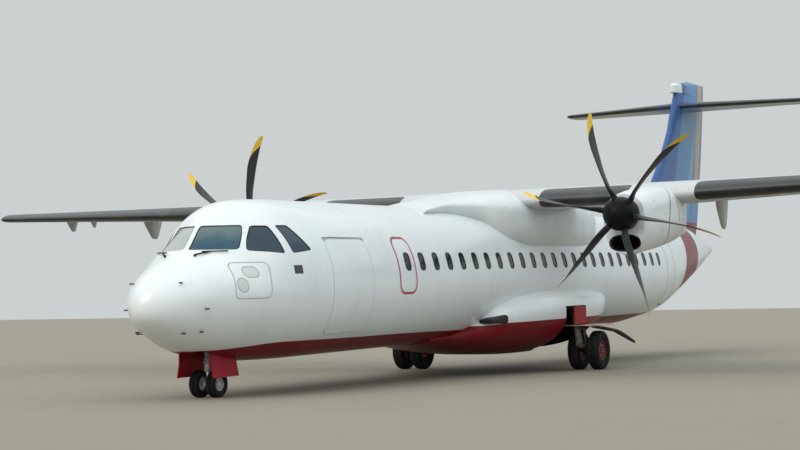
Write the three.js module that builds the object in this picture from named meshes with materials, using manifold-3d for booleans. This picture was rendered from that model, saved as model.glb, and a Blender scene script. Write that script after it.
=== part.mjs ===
// Twin-turboprop regional airliner with a high wing and a T-tail, parked on its gear.
// Millimetres, +X towards the nose, +Y to the left wing, +Z up, origin on the ground
// under the middle of the length. Stations are counted from the nose tip, backwards.
import * as THREE from 'three'
import Module from 'manifold-3d'
import { mergeVertices } from 'three/addons/utils/BufferGeometryUtils.js'

const wasm = await Module()
wasm.setup()

// Driving dimensions
const LENGTH = 27166
const HALF_SPAN = 13525
const WHEEL_BASE = 10770
const TRACK = 4100
const NOSE_GEAR_STATION = 1700
const MAIN_GEAR_STATION = NOSE_GEAR_STATION + WHEEL_BASE
const ATTITUDE = THREE.MathUtils.degToRad(1.19) // nose-down, standing on its gear
const HALF_WIDTH = 1432.5
const ROUND_CENTRE = 1922 // height of the upper lobe's centre
const ROOF = ROUND_CENTRE + HALF_WIDTH
const KEEL = 737
const SEAT = 0.3 // gap between touching pieces
const CLEAR = 6 // gap around moving pieces
const SKIN = 45 // thickness of doors and hatches
const PIN_GAP = 0.4 // running gap round a pin
const PIN_SIDES = 12

const WHITE = 0xe9ecec
const RED = 0x7c1420
const BOOT = 0x23282a
const GREY = 0xb9bfbf
const GLASS = 0x2b3a44
const RUBBER = 0x17181a
const STEEL = 0x8f9496
const BLUE = 0x3f74c4

const paint = (color, roughness = 0.35, metalness = 0) =>
  new THREE.MeshStandardMaterial({ color, roughness, metalness })

const at = (station) => MAIN_GEAR_STATION - station

// A point given on the level ground frame, seen from the airframe, which stands nose-down
const fromGround = (x, y, z) => [
  x * Math.cos(ATTITUDE) - z * Math.sin(ATTITUDE),
  y,
  x * Math.sin(ATTITUDE) + z * Math.cos(ATTITUDE),
]

// Solids
function solidOf(positions, triangles) {
  const build = (list) =>
    new wasm.Manifold(new wasm.Mesh({
      numProp: 3,
      vertProperties: new Float32Array(positions),
      triVerts: new Uint32Array(list),
    }))
  const first = build(triangles)
  if (first.volume() > 0) return first
  const turned = []
  for (let i = 0; i < triangles.length; i += 3) {
    turned.push(triangles[i], triangles[i + 2], triangles[i + 1])
  }
  return build(turned)
}

function solidOfGeometry(geometry, matrix) {
  const bare = geometry.clone()
  bare.deleteAttribute('normal')
  bare.deleteAttribute('uv')
  if (matrix) bare.applyMatrix4(matrix)
  const merged = mergeVertices(bare, 1e-3)
  return solidOf(Array.from(merged.attributes.position.array), Array.from(merged.index.array))
}

// A closed skin through rings that all have the same number of points, capped flat at both ends
function loft(rings) {
  const count = rings[0].length
  const positions = []
  const triangles = []
  for (const ring of rings) for (const point of ring) positions.push(...point)
  for (let r = 0; r + 1 < rings.length; r++) {
    for (let i = 0; i < count; i++) {
      const a = r * count + i
      const b = r * count + (i + 1) % count
      triangles.push(a, b, b + count, a, b + count, a + count)
    }
  }
  for (const [ring, flip] of [[0, true], [rings.length - 1, false]]) {
    const centre = positions.length / 3
    const sum = [0, 0, 0]
    for (const point of rings[ring]) for (let k = 0; k < 3; k++) sum[k] += point[k] / count
    positions.push(...sum)
    for (let i = 0; i < count; i++) {
      const a = ring * count + i
      const b = ring * count + (i + 1) % count
      triangles.push(centre, flip ? b : a, flip ? a : b)
    }
  }
  return solidOf(positions, triangles)
}

function mirrored(solid) {
  const { vertProperties, triVerts } = solid.getMesh()
  const positions = Array.from(vertProperties)
  for (let i = 1; i < positions.length; i += 3) positions[i] *= -1
  return solidOf(positions, Array.from(triVerts))
}

function box(x0, x1, y0, y1, z0, z1) {
  const geometry = new THREE.BoxGeometry(Math.abs(x1 - x0), Math.abs(y1 - y0), Math.abs(z1 - z0))
  geometry.translate((x0 + x1) / 2, (y0 + y1) / 2, (z0 + z1) / 2)
  return solidOfGeometry(geometry)
}

// A round bar between two points
function bar(from, to, radius, sides = 16, endRadius = radius) {
  const a = new THREE.Vector3(...from)
  const b = new THREE.Vector3(...to)
  const along = b.clone().sub(a)
  const geometry = new THREE.CylinderGeometry(endRadius, radius, along.length(), sides)
  const turn = new THREE.Quaternion().setFromUnitVectors(new THREE.Vector3(0, 1, 0), along.normalize())
  const matrix = new THREE.Matrix4().compose(a.add(b).multiplyScalar(0.5), turn, new THREE.Vector3(1, 1, 1))
  return solidOfGeometry(geometry, matrix)
}

// A ring or disc turned about the Y axis through (x, y, z), standing on a facet;
// profile pairs are [radius of a facet's middle, y]
function turned(profile, x, y, z, segments) {
  const half = Math.PI / segments
  const points = profile.map(([radius, along]) => new THREE.Vector2(radius / Math.cos(half), along))
  const geometry = new THREE.LatheGeometry(points, segments, half)
  return solidOfGeometry(geometry, new THREE.Matrix4().makeTranslation(x, y, z))
}

// Radius of a faceted bore that a pin of the same number of sides turns in
const boreFor = (radius, sides = PIN_SIDES) => (radius + PIN_GAP) / Math.cos(Math.PI / sides)

// A hinge pin fixed in one piece and the bore that it needs in the other
function pinPair(from, towards, radius, fixedDepth, movingDepth) {
  const start = new THREE.Vector3(...from)
  const step = new THREE.Vector3(...towards).sub(start).normalize()
  const along = (distance) => start.clone().addScaledVector(step, distance).toArray()
  return {
    pin: bar(along(-fixedDepth), along(movingDepth), radius, PIN_SIDES),
    bore: bar(along(-1), along(movingDepth + PIN_GAP), boreFor(radius), PIN_SIDES),
  }
}

const join = (...solids) => solids.reduce((whole, next) => whole.add(next))
const lerp = (a, b, t) => a + (b - a) * t

// Value of one column of a table at a station, joined by straight lines
function tableAt(table, column, station) {
  if (station <= table[0].station) return table[0][column]
  for (let i = 0; i + 1 < table.length; i++) {
    const a = table[i]
    const b = table[i + 1]
    if (station <= b.station) {
      return lerp(a[column], b[column], (station - a.station) / (b.station - a.station))
    }
  }
  return table[table.length - 1][column]
}

// One ring of a body: two half superellipses that meet at the widest height
function bodyRing(station, section, grow, sides) {
  const { top, bottom, half, widest, crown, belly } = section
  const ring = []
  for (let i = 0; i < sides; i++) {
    const angle = 2 * Math.PI * i / sides
    const c = Math.cos(angle)
    const s = Math.sin(angle)
    const power = s >= 0 ? crown : belly
    const height = s >= 0 ? top - widest + grow : widest - bottom + grow
    ring.push([
      at(station),
      (section.side ?? 0) + Math.sign(c) * (half + grow) * Math.abs(c) ** (2 / power),
      widest + Math.sign(s) * height * Math.abs(s) ** (2 / power),
    ])
  }
  return ring
}

// Fuselage
const NOSE_LENGTH = 3900
const NOSE_FULLNESS = 0.6 // 0.5 would be an ellipse seen from above
const TAIL_TAPER = 18100
const FUSELAGE_SIDES = 32
// columns: station, top, bottom, widest (heights), crown and belly (powers of the half ellipses)
const FUSELAGE = [
  [4, 1700, 1620, 1660, 1.95, 2.2],
  [60, 1860, 1490, 1670, 1.95, 2.2],
  [180, 2005, 1375, 1690, 1.95, 2.2],
  [420, 2175, 1228, 1720, 1.95, 2.15],
  [760, 2345, 1062, 1760, 1.9, 2.05],
  [1168, 2520, 925, 1800, 2, 2.1],
  [1515, 2888, 852, 1830, 1.6, 2.05],
  [1740, 3070, 815, 1850, 1.55, 2.1],
  [1957, 3205, 790, 1870, 1.8, 2.15],
  [2373, 3315, 758, 1895, 2.05, 2.2],
  [2800, 3345, 745, 1910, 2.05, 2.25],
  [3400, ROOF, KEEL, ROUND_CENTRE, 2, 2.3],
  [NOSE_LENGTH, ROOF, KEEL, ROUND_CENTRE, 2, 2.3],
  [TAIL_TAPER, ROOF, KEEL, ROUND_CENTRE, 2, 2.3],
  [19200, 3352, 797, 1959, 2, 2.25],
  [20400, 3345, 891, 1990, 2, 2.2],
  [22300, 3310, 1266, 2195, 2, 2.05],
  [24300, 3210, 1726, 2402, 2, 2],
  [25500, 2957, 2019, 2495, 2, 2],
  [26600, 2825, 2301, 2609, 2, 2],
  [LENGTH, 2681, 2444, 2591, 2, 2],
].map(([station, top, bottom, widest, crown, belly]) => ({ station, top, bottom, widest, crown, belly }))
const TAIL_END_HALF = 105
const TAIL_POWER = 1.536

function halfWidthAt(station) {
  if (station < NOSE_LENGTH) {
    return HALF_WIDTH * (1 - (1 - station / NOSE_LENGTH) ** 2) ** NOSE_FULLNESS
  }
  if (station < TAIL_TAPER) return HALF_WIDTH
  const t = (station - TAIL_TAPER) / (LENGTH - TAIL_TAPER)
  return lerp(HALF_WIDTH, TAIL_END_HALF, t ** TAIL_POWER)
}

const fuselageSection = (station) => ({
  station,
  half: halfWidthAt(station),
  ...Object.fromEntries(['top', 'bottom', 'widest', 'crown', 'belly']
    .map((column) => [column, tableAt(FUSELAGE, column, station)])),
})

function fuselageBody(grow, from = FUSELAGE[0].station, to = LENGTH) {
  const stations = FUSELAGE.map((row) => row.station).filter((s) => s > from && s < to)
  const rings = [from, ...stations, to]
    .map((station) => bodyRing(station, fuselageSection(station), grow, FUSELAGE_SIDES))
  return loft(rings)
}

const RADOME_END = 760
const TAIL_CONE_START = 25500
const TAIL_HOLLOW = { front: 20700, wall: 80 } // the rear fuselage is a shell that the tail cone closes
const grownFuselage = fuselageBody(SEAT)
const innerFuselage = fuselageBody(-SKIN)

// Doors: station of the middle, width, height of the lower and upper edge, side (+1 left),
// and the height of the hinge on those that swing about a level hinge
const DOORS = {
  cargo_door: { middle: 3900, width: 1275, low: 1130, high: 2660, side: 1, corner: 120, hinge: 2663 },
  passenger_door: { middle: 19995, width: 730, low: 1180, high: 2900, side: 1, corner: 110, hinge: 1177 },
  service_door: { middle: 19700, width: 620, low: 1450, high: 2700, side: -1, corner: 90 },
  exit_hatch_left: { middle: 5725, width: 540, low: 1730, high: 2690, side: 1, corner: 130 },
  exit_hatch_right: { middle: 5725, width: 540, low: 1730, high: 2690, side: -1, corner: 130 },
}
const HINGE_RADIUS = 8
const HINGE_DEPTH = 7 // depth of the hinge line under the skin
const HINGE_RECESS = 24 // radius of the groove that the hinge lies in
const SWING_GAP = 10 // gap round the outline of a swinging door
const SWING_ROOM = 30 // room behind a swinging door
const HINGE_REACH = 60 // how far a hinge rod runs past the door at each end

// Side of the skin at a station and height, sunk by a depth
function skinSide(station, height, depth = 0) {
  const { top, bottom, half, widest, crown, belly } = fuselageSection(station)
  const upper = height >= widest
  const rise = Math.abs(height - widest) / (upper ? top - widest : widest - bottom)
  const power = upper ? crown : belly
  return half * (1 - rise ** power) ** (1 / power) - depth
}

// A door's outline carried straight through the skin, square to its hinge as seen from above
function doorPrism({ middle, width, low, high, side, corner, hinge = (low + high) / 2 }, grow) {
  const half = width / 2 + grow
  const bottom = low - grow
  const top = high + grow
  const outline = new THREE.Shape()
  outline.moveTo(-half + corner, bottom)
  outline.lineTo(half - corner, bottom)
  outline.quadraticCurveTo(half, bottom, half, bottom + corner)
  outline.lineTo(half, top - corner)
  outline.quadraticCurveTo(half, top, half - corner, top)
  outline.lineTo(-half + corner, top)
  outline.quadraticCurveTo(-half, top, -half, top - corner)
  outline.lineTo(-half, bottom + corner)
  outline.quadraticCurveTo(-half, bottom, -half + corner, bottom)
  const depth = 1400
  const [front, centre, rear] = [-width / 2, 0, width / 2].map((step) => skinSide(middle + step, hinge))
  const geometry = new THREE.ExtrudeGeometry(outline, { depth, bevelEnabled: false, curveSegments: 3 })
  geometry.rotateX(Math.PI / 2) // height to Z, depth to -Y
  geometry.translate(0, depth / 2, 0)
  geometry.rotateZ(side * Math.atan2(front - rear, width))
  geometry.translate(at(middle), side * centre, 0)
  return solidOfGeometry(geometry)
}

// Ends of a door's hinge line
function doorHinge({ middle, width, hinge }) {
  return [-1, 1].map((end) => {
    const station = middle + end * width / 2
    return [at(station), skinSide(station, hinge, HINGE_DEPTH), hinge]
  })
}

const pocketCore = (depth) => fuselageBody(-depth)
const doorSolids = {}
let fuselage = fuselageBody(0, RADOME_END + SEAT, TAIL_CONE_START - SEAT)
  .subtract(fuselageBody(-TAIL_HOLLOW.wall, TAIL_HOLLOW.front, TAIL_CONE_START + TAIL_HOLLOW.wall))
for (const [name, door] of Object.entries(DOORS)) {
  const shell = doorPrism(door, 0).intersect(fuselageBody(0, door.middle - 1500, door.middle + 1500))
  doorSolids[name] = shell.subtract(innerFuselage)
  const floor = pocketCore(door.hinge ? SKIN + SWING_ROOM : SKIN + SEAT)
  fuselage = fuselage.subtract(doorPrism(door, door.hinge ? SWING_GAP : CLEAR).subtract(floor))
  if (door.hinge) {
    const [front, back] = doorHinge(door)
    const { pin } = pinPair(front, back, HINGE_RADIUS, HINGE_REACH, door.width + HINGE_REACH)
    const { bore } = pinPair(front, back, HINGE_RADIUS, 0, door.width)
    fuselage = fuselage.subtract(bar(front, back, HINGE_RECESS, 20)).add(pin)
    doorSolids[name] = doorSolids[name].subtract(bore)
  }
}

// Cockpit glazing: six panes between white posts, carried by one hidden core
const PANE_REAR = 1950 // station that the windscreen panes reach back to
const PANE_INNER = 300 // how near the middle the side panes reach
const PANE_REACH = 1300
// panes: corner points [station, height] of each pane on the left side, seen from the side
const SIDE_PANES = [
  [[1650, 2493], [2212, 2435], [2162, 2878], [1925, 2880]],
  [[2366, 2438], [2834, 2486], [2534, 2886], [2277, 2882]],
]
// windscreen pane of the left side, seen from ahead: [side, height]
const FRONT_PANE = [[46, 2520], [734, 2508], [594, 2892], [42, 2894]]

// A convex outline with every edge moved outwards
function grownOutline(points, grow) {
  const centre = [0, 1].map((axis) => points.reduce((sum, point) => sum + point[axis] / points.length, 0))
  const edges = points.map((a, index) => {
    const b = points[(index + 1) % points.length]
    const length = Math.hypot(b[0] - a[0], b[1] - a[1])
    const normal = [(b[1] - a[1]) / length, (a[0] - b[0]) / length]
    const out = (a[0] - centre[0]) * normal[0] + (a[1] - centre[1]) * normal[1]
    const facing = normal.map((value) => value * Math.sign(out))
    return { normal: facing, reach: a[0] * facing[0] + a[1] * facing[1] + grow }
  })
  return edges.map((second, index) => {
    const first = edges[(index + edges.length - 1) % edges.length]
    const cross = first.normal[0] * second.normal[1] - first.normal[1] * second.normal[0]
    return [
      (first.reach * second.normal[1] - second.reach * first.normal[1]) / cross,
      (first.normal[0] * second.reach - second.normal[0] * first.reach) / cross,
    ]
  })
}

function panePrism(points, fromAhead, grow) {
  const outline = new THREE.Shape(grownOutline(points, grow).map(([a, b]) => new THREE.Vector2(a, b)))
  const geometry = new THREE.ExtrudeGeometry(outline, { depth: PANE_REACH + grow, bevelEnabled: false })
  const up = new THREE.Vector3(0, 0, 1)
  const matrix = new THREE.Matrix4()
  if (fromAhead) {
    matrix.makeBasis(new THREE.Vector3(0, 1, 0), up, new THREE.Vector3(1, 0, 0))
    matrix.setPosition(at(PANE_REAR) - grow, 0, 0)
  } else {
    matrix.makeBasis(new THREE.Vector3(-1, 0, 0), up, new THREE.Vector3(0, 1, 0))
    matrix.setPosition(MAIN_GEAR_STATION, PANE_INNER - grow, 0)
  }
  return solidOfGeometry(geometry, matrix)
}

// Panes stand on one hidden core, whose pocket in the nose is a seat's gap larger
const CORE = { depth: 110, front: 1330, middle: [1740, 2200], rear: 2720, low: 2460, high: 2850, crown: 1.9, sides: 16 }
const coreBody = (gap) => {
  const front = CORE.front - gap
  const rear = CORE.rear + gap
  const rings = [front, ...CORE.middle, rear].map((station) =>
    bodyRing(station, { ...fuselageSection(station), crown: CORE.crown }, gap - CORE.depth, CORE.sides))
  const slab = box(at(rear), at(front), -HALF_WIDTH, HALF_WIDTH, CORE.low - gap, CORE.high + gap)
  return loft(rings).intersect(slab)
}
const PANE_DEPTH = 14 // how far the glass lies under the skin
const glassSkin = fuselageBody(-PANE_DEPTH, 900, 3000)
const panesWithin = (gap) => {
  const lefts = [panePrism(FRONT_PANE, true, gap), ...SIDE_PANES.map((pane) => panePrism(pane, false, gap))]
  return join(...lefts, ...lefts.map(mirrored))
}
const cockpitGlazing = join(panesWithin(0).intersect(glassSkin), coreBody(0))
fuselage = fuselage.subtract(panesWithin(SEAT)).subtract(coreBody(SEAT))

const radome = fuselageBody(0, FUSELAGE[0].station, RADOME_END)
const tailCone = fuselageBody(0, TAIL_CONE_START, LENGTH)

// Lifting surfaces
const AIRFOIL_STATIONS = [0, 0.015, 0.06, 0.16, 0.32, 0.52, 0.74, 1]
const EDGE = 5 // half thickness of a trailing edge

// Half thickness and mean line of a four-digit airfoil, as shares of the chord
const halfThickness = (x, ratio) =>
  ratio / 0.2 * (0.2969 * Math.sqrt(x) - 0.126 * x - 0.3516 * x ** 2 + 0.2843 * x ** 3 - 0.1015 * x ** 4)
const meanLine = (x, camber, peak = 0.4) =>
  x < peak ? camber / peak ** 2 * (2 * peak * x - x * x)
    : camber / (1 - peak) ** 2 * (1 - 2 * peak + 2 * peak * x - x * x)

// sections: { station, across, up, chord, ratio, camber }; upright turns the thickness to Y
function surfaceRing({ station, across, up, chord, ratio, camber }, upright, grow) {
  const ring = []
  const back = AIRFOIL_STATIONS.slice().reverse()
  const walk = [...back.map((x) => [x, 1]), ...AIRFOIL_STATIONS.slice(1).map((x) => [x, -1])]
  for (const [x, sign] of walk) {
    const thick = sign * (halfThickness(x, ratio) * chord + EDGE * x + (x > 0 ? grow : 0))
    const mean = meanLine(x, camber) * chord
    const along = station + x * chord + (x === 0 ? -grow : 0) + (x === 1 ? grow : 0)
    ring.push(upright
      ? [at(along), across + thick, up]
      : [at(along), across, up + mean + thick])
  }
  return ring
}

const surface = (sections, upright = false, grow = 0) =>
  loft(sections.map((section) => surfaceRing(section, upright, grow)))

// Wing
const WING = { rootStation: 11140, rootChord: 2570, rootHeight: 3490, tipStation: 12020, tipChord: 1430 }
const CENTRE_END = 4600
const TIP_START = 13230
const TIP_RISE = 225
const wingRise = (across) => across <= CENTRE_END ? 0 : TIP_RISE * (across - CENTRE_END) / (HALF_SPAN - CENTRE_END)
const wingShare = (across) => (across - CENTRE_END) / (TIP_START - CENTRE_END)
const wingFront = (across) => across <= CENTRE_END ? WING.rootStation
  : lerp(WING.rootStation, WING.tipStation, wingShare(across))
const wingChord = (across) => across <= CENTRE_END ? WING.rootChord
  : lerp(WING.rootChord, WING.tipChord, wingShare(across))
const wingRatio = (across) => across <= CENTRE_END ? 0.175 : lerp(0.175, 0.135, wingShare(across))

function wingSection(across) {
  return {
    station: wingFront(across),
    across,
    up: WING.rootHeight + wingRise(across),
    chord: wingChord(across),
    ratio: wingRatio(across),
    camber: 0.022,
  }
}

function tipSection(across, cut, thin) {
  const base = wingSection(TIP_START)
  return {
    ...base,
    across,
    up: WING.rootHeight + wingRise(across),
    station: base.station + cut,
    chord: base.chord - cut - cut * 0.25,
    ratio: base.ratio * thin,
  }
}

// Outline of a hinged surface's zone in the plane of one section. The hinge is at the origin,
// a is forward and b is up: a round nose of the given radius, then everything behind it.
function hingeZone(radius, highLip, lowLip, reach) {
  const points = []
  const steps = 6
  for (let i = 0; i <= steps; i++) {
    const angle = THREE.MathUtils.degToRad(lerp(highLip, -lowLip, i / steps))
    points.push([radius * Math.cos(angle), radius * Math.sin(angle)])
  }
  const deep = reach.deep
  points.push([points[steps][0] + reach.slope, -deep], [-reach.back, -deep], [-reach.back, deep])
  points.push([points[0][0] + reach.slope, deep])
  return points
}

// A zone carried from one hinge point to another; ends are [along, across, up] of the hinge
function hingeRegion(ends, radii, lips, upright, stretch = 0) {
  const reach = { deep: 420, back: 1500, slope: 0 }
  const rings = ends.map(([along, across, up], index) =>
    hingeZone(radii[index], lips[0], lips[1], reach).map(([a, b]) => upright
      ? [along + a, across + b, up]
      : [along + a, across, up + b]))
  if (stretch) {
    const last = rings.length - 1
    const low = new THREE.Vector3(...ends[0])
    const high = new THREE.Vector3(...ends[last])
    const step = high.sub(low).normalize().multiplyScalar(stretch)
    rings[0] = rings[0].map((p) => [p[0] - step.x, p[1] - step.y, p[2] - step.z])
    rings[last] = rings[last].map((p) => [p[0] + step.x, p[1] + step.y, p[2] + step.z])
  }
  return loft(rings)
}

const centreWing = (grow) => surface(
  [-CENTRE_END, CENTRE_END].map((across) => ({ ...wingSection(CENTRE_END), across })), false, grow)
const outerWing = () => surface([
  wingSection(CENTRE_END + SEAT),
  wingSection(TIP_START),
  tipSection(13420, 130, 0.8),
  tipSection(HALF_SPAN, 330, 0.35),
])

// Hinge point of a wing surface: share of the chord, halfway between the two skins
function wingHinge(across, share) {
  const { station, up, chord, camber } = wingSection(across)
  return [at(station + share * chord), across, up + meanLine(share, camber) * chord]
}
const wingHalfThickness = (across, share) => {
  const { chord, ratio } = wingSection(across)
  return halfThickness(share, ratio) * chord + EDGE * share
}

// columns: name, inner and outer end across the span, hinge as a share of the chord,
// lips of the cove above and below the nose, in degrees from straight ahead
const WING_PANELS = [
  ['flap_inner', 1600, 3490, 0.7, 80, 46],
  ['flap_outer', 4640, 9760, 0.7, 80, 46],
  ['aileron', 9800, 13080, 0.72, 68, 68],
].map(([name, inner, outer, share, highLip, lowLip]) => ({ name, inner, outer, share, highLip, lowLip }))

const PANEL_PIN = 14
const PANEL_PIN_REACH = 40

function hingedPanel(panel, body) {
  const ends = [wingHinge(panel.inner, panel.share), wingHinge(panel.outer, panel.share)]
  const radii = [panel.inner, panel.outer].map((across) => wingHalfThickness(across, panel.share) * 0.98)
  const own = hingeRegion(ends, radii, [90, 90], false)
  const cove = hingeRegion(ends, radii.map((r) => r + CLEAR), [panel.highLip, panel.lowLip], false, CLEAR)
  const pins = [
    pinPair(ends[0], ends[1], PANEL_PIN, CLEAR + 18, PANEL_PIN_REACH),
    pinPair(ends[1], ends[0], PANEL_PIN, CLEAR + 18, PANEL_PIN_REACH),
  ]
  const fairings = HINGE_FAIRINGS.filter((fairing) => fairing.panel === panel.name)
    .map((fairing) => hingeFairing(fairing, panel.share))
  const moving = pins.reduce((solid, { bore }) => solid.subtract(bore), join(body.intersect(own), ...fairings))
  return { moving, cove, pins: pins.map(({ pin }) => pin) }
}

// Hinge fairings under the outer flap and the aileron, each riding on its panel: across the span,
// length behind the hinge, depth under it, half width
const HINGE_FAIRINGS = [
  { panel: 'flap_outer', across: 4715, length: 800, depth: 720, half: 62 },
  { panel: 'flap_outer', across: 9665, length: 800, depth: 540, half: 65 },
  { panel: 'aileron', across: 11330, length: 300, depth: 240, half: 30 },
  { panel: 'aileron', across: 12080, length: 470, depth: 330, half: 50 },
]
// columns: share of the length, share of the depth, share of the half width
const FAIRING_SHAPE = [[0.02, 0.16, 0.5], [0.28, 0.66, 1], [0.52, 1, 1], [0.68, 1, 0.9], [0.86, 0.55, 0.6], [1, 0.12, 0.2]]

function hingeFairing({ across, length, depth, half }, share) {
  const [hingeAlong, , hingeUp] = wingHinge(across, share)
  return loft(FAIRING_SHAPE.map(([along, deep, wide]) => bodyRing(at(hingeAlong) + along * length, {
    top: hingeUp, bottom: hingeUp - depth * deep, half: half * wide, widest: hingeUp - depth * deep * 0.45,
    crown: 3, belly: 2, side: across,
  }, 0, 12)))
}

let wingCentre = centreWing(0)
let wingLeft = outerWing()
const panelSolids = {}
for (const panel of WING_PANELS) {
  const onCentre = panel.outer < CENTRE_END
  const { moving, cove, pins } = hingedPanel(panel, onCentre ? centreWing(0) : outerWing())
  panelSolids[panel.name] = moving
  if (onCentre) {
    wingCentre = wingCentre.subtract(cove).subtract(mirrored(cove))
    for (const pin of pins) wingCentre = wingCentre.add(pin).add(mirrored(pin))
  } else {
    wingLeft = pins.reduce((solid, pin) => solid.add(pin), wingLeft.subtract(cove))
  }
  panel.cove = cove
}
wingCentre = wingCentre.subtract(grownFuselage)
const grownWing = centreWing(SEAT)

// Wing-root fairing over the roof
// columns: station, top, foot (height where its side meets the skin), crown
const ROOT_FAIRING = [
  [7900, 3300, 3200, 2.2],
  [8900, 3485, 3230, 2.2],
  [9940, 3600, 3090, 2.4],
  [10330, 3650, 2868, 2.7],
  [10620, 3680, 2725, 3],
  [11050, 3725, 2630, 3],
  [11500, 3765, 2580, 3],
  [12700, 3810, 2577, 3],
  [13900, 3785, 2577, 3],
  [14850, 3640, 2655, 2.8],
  [15200, 3560, 2860, 2.5],
  [15500, 3490, 3110, 2.3],
  [16250, 3325, 3290, 2.2],
]
// How far the widest line lies above the foot, how far the side tucks under it, and the power there
const FAIRING_SIDE = { lift: 380, liftShare: 0.45, sink: 0.66, power: 3 }
function fairingRing([station, top, foot, crown]) {
  const { power } = FAIRING_SIDE
  const lift = Math.min(FAIRING_SIDE.lift, FAIRING_SIDE.liftShare * (top - foot))
  const bottom = foot - lift * FAIRING_SIDE.sink
  const widest = foot + lift
  const reach = (1 - (lift / (widest - bottom)) ** power) ** (1 / power)
  return bodyRing(station, { top, bottom, half: skinSide(station, foot) / reach, widest, crown, belly: power }, 0, 28)
}
let rootFairing = loft(ROOT_FAIRING.map(fairingRing)).subtract(grownFuselage).subtract(grownWing)
const flapCove = WING_PANELS[0].cove
rootFairing = rootFairing.subtract(flapCove).subtract(mirrored(flapCove))

// Belly fairing with the two gear sponsons
// columns: station, bottom, half (sponson reach), top
const BELLY = [
  [7900, 735, 700, 900],
  [8600, 640, 1000, 1020],
  [9000, 585, 1250, 1150],
  [9250, 550, 1440, 1330],
  [9500, 520, 1570, 1500],
  [9863, 485, 1660, 1601],
  [10418, 425, 1750, 1688],
  [11049, 390, 1840, 1735],
  [11773, 358, 1910, 1769],
  [12667, 352, 1960, 1760],
  [13160, 450, 1940, 1747],
  [13700, 580, 1870, 1725],
  [14192, 740, 1760, 1708],
  [14746, 850, 1550, 1701],
  [14993, 880, 1455, 1722],
  [15250, 900, 1250, 1500],
]
let bellyFairing = loft(BELLY.map(([station, bottom, half, top]) => bodyRing(station, {
  top, bottom, half, widest: lerp(bottom, top, 0.62), crown: 2.5, belly: 2.5,
}, 0, 28))).subtract(grownFuselage)

// Wheel bay, open below and at its side, with a deeper well round the leg
const BAY = { front: 11650, rear: 13050, inner: 620, outer: 2300, roof: 930 }
const LEG_WELL = { front: 11690, rear: 12620, inner: 1500, roof: 1330 }
const bay = join(
  box(at(BAY.rear), at(BAY.front), BAY.inner, BAY.outer, 0, BAY.roof),
  box(at(LEG_WELL.rear), at(LEG_WELL.front), LEG_WELL.inner, BAY.outer, BAY.roof - 30, LEG_WELL.roof),
)
bellyFairing = bellyFairing.subtract(bay).subtract(mirrored(bay))

// Ram air scoop on the front of each sponson
// columns: station, top, bottom, outer reach
const SCOOP = [[9080, 1165, 1075, 1460], [9130, 1172, 1072, 1480], [9480, 1240, 1060, 1610], [9500, 1230, 1070, 1590]]
const SCOOP_INNER = 1180
const scoop = loft(SCOOP.map(([station, top, bottom, outer]) => bodyRing(station, {
  top, bottom, half: (outer - SCOOP_INNER) / 2, widest: (top + bottom) / 2, crown: 4, belly: 4,
  side: (outer + SCOOP_INNER) / 2,
}, 0, 12))).subtract(grownFuselage)
bellyFairing = join(bellyFairing, scoop, mirrored(scoop))

// Fin and rudder
// columns: up, station of the leading edge, station of the trailing edge, ratio
const FIN = [
  [2700, 20290, 25870, 0.05],
  [3330, 21150, 26160, 0.065],
  [4336, 22430, 26440, 0.09],
  [5100, 23290, 26660, 0.1],
  [5845, 23930, 26830, 0.105],
  [6160, 24090, 26895, 0.107],
  [6500, 24310, 26963, 0.108],
  [6900, 24550, 27044, 0.11],
  [6930, 24330, 27050, 0.11],
  [7110, 24320, 27082, 0.105],
  [7180, 24450, 27092, 0.1],
  [7240, 25050, 27095, 0.09],
  [7320, 25600, 27100, 0.06],
].map(([up, station, rear, ratio]) => ({ up, station, chord: rear - station, ratio, across: 0, camber: 0 }))
const finWhole = surface(FIN, true)
const finAt = (up) => {
  const index = Math.max(1, FIN.findIndex((row) => row.up >= up))
  const a = FIN[index - 1]
  const b = FIN[index]
  const t = (up - a.up) / (b.up - a.up)
  return { station: lerp(a.station, b.station, t), chord: lerp(a.chord, b.chord, t), ratio: lerp(a.ratio, b.ratio, t) }
}
const RUDDER = { low: 3200, high: 7320, lowStation: 25305, highStation: 26329 }
const rudderHinge = (up) => lerp(RUDDER.lowStation, RUDDER.highStation, (up - RUDDER.low) / (RUDDER.high - RUDDER.low))
function rudderRadius(up) {
  const { station, chord, ratio } = finAt(up)
  const share = (rudderHinge(up) - station) / chord
  return (halfThickness(share, ratio) * chord + EDGE * share) * 0.98
}
const rudderHeights = [RUDDER.low, ...FIN.map((row) => row.up).filter((up) => up > RUDDER.low && up < RUDDER.high), RUDDER.high]
const rudderEnds = rudderHeights.map((up) => [at(rudderHinge(up)), 0, up])
const rudderRadii = rudderHeights.map(rudderRadius)
const rudderCove = hingeRegion(rudderEnds, rudderRadii.map((r) => r + CLEAR), [56, 56], true, 400)
const rudderZone = hingeRegion(rudderEnds, rudderRadii, [90, 90], true, 400)

// Tailplane and elevators
const TAILPLANE = { up: 6560, rootStation: 24560, rootChord: 2080, tipStation: 25330, tipChord: 1300, half: 3655 }
const TAIL_TIP_START = 3480
const tailSection = (across) => {
  const t = Math.abs(across) / TAIL_TIP_START
  return {
    station: lerp(TAILPLANE.rootStation, TAILPLANE.tipStation, t),
    across,
    up: TAILPLANE.up,
    chord: lerp(TAILPLANE.rootChord, TAILPLANE.tipChord, t),
    ratio: lerp(0.115, 0.1, t),
    camber: 0,
  }
}
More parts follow.
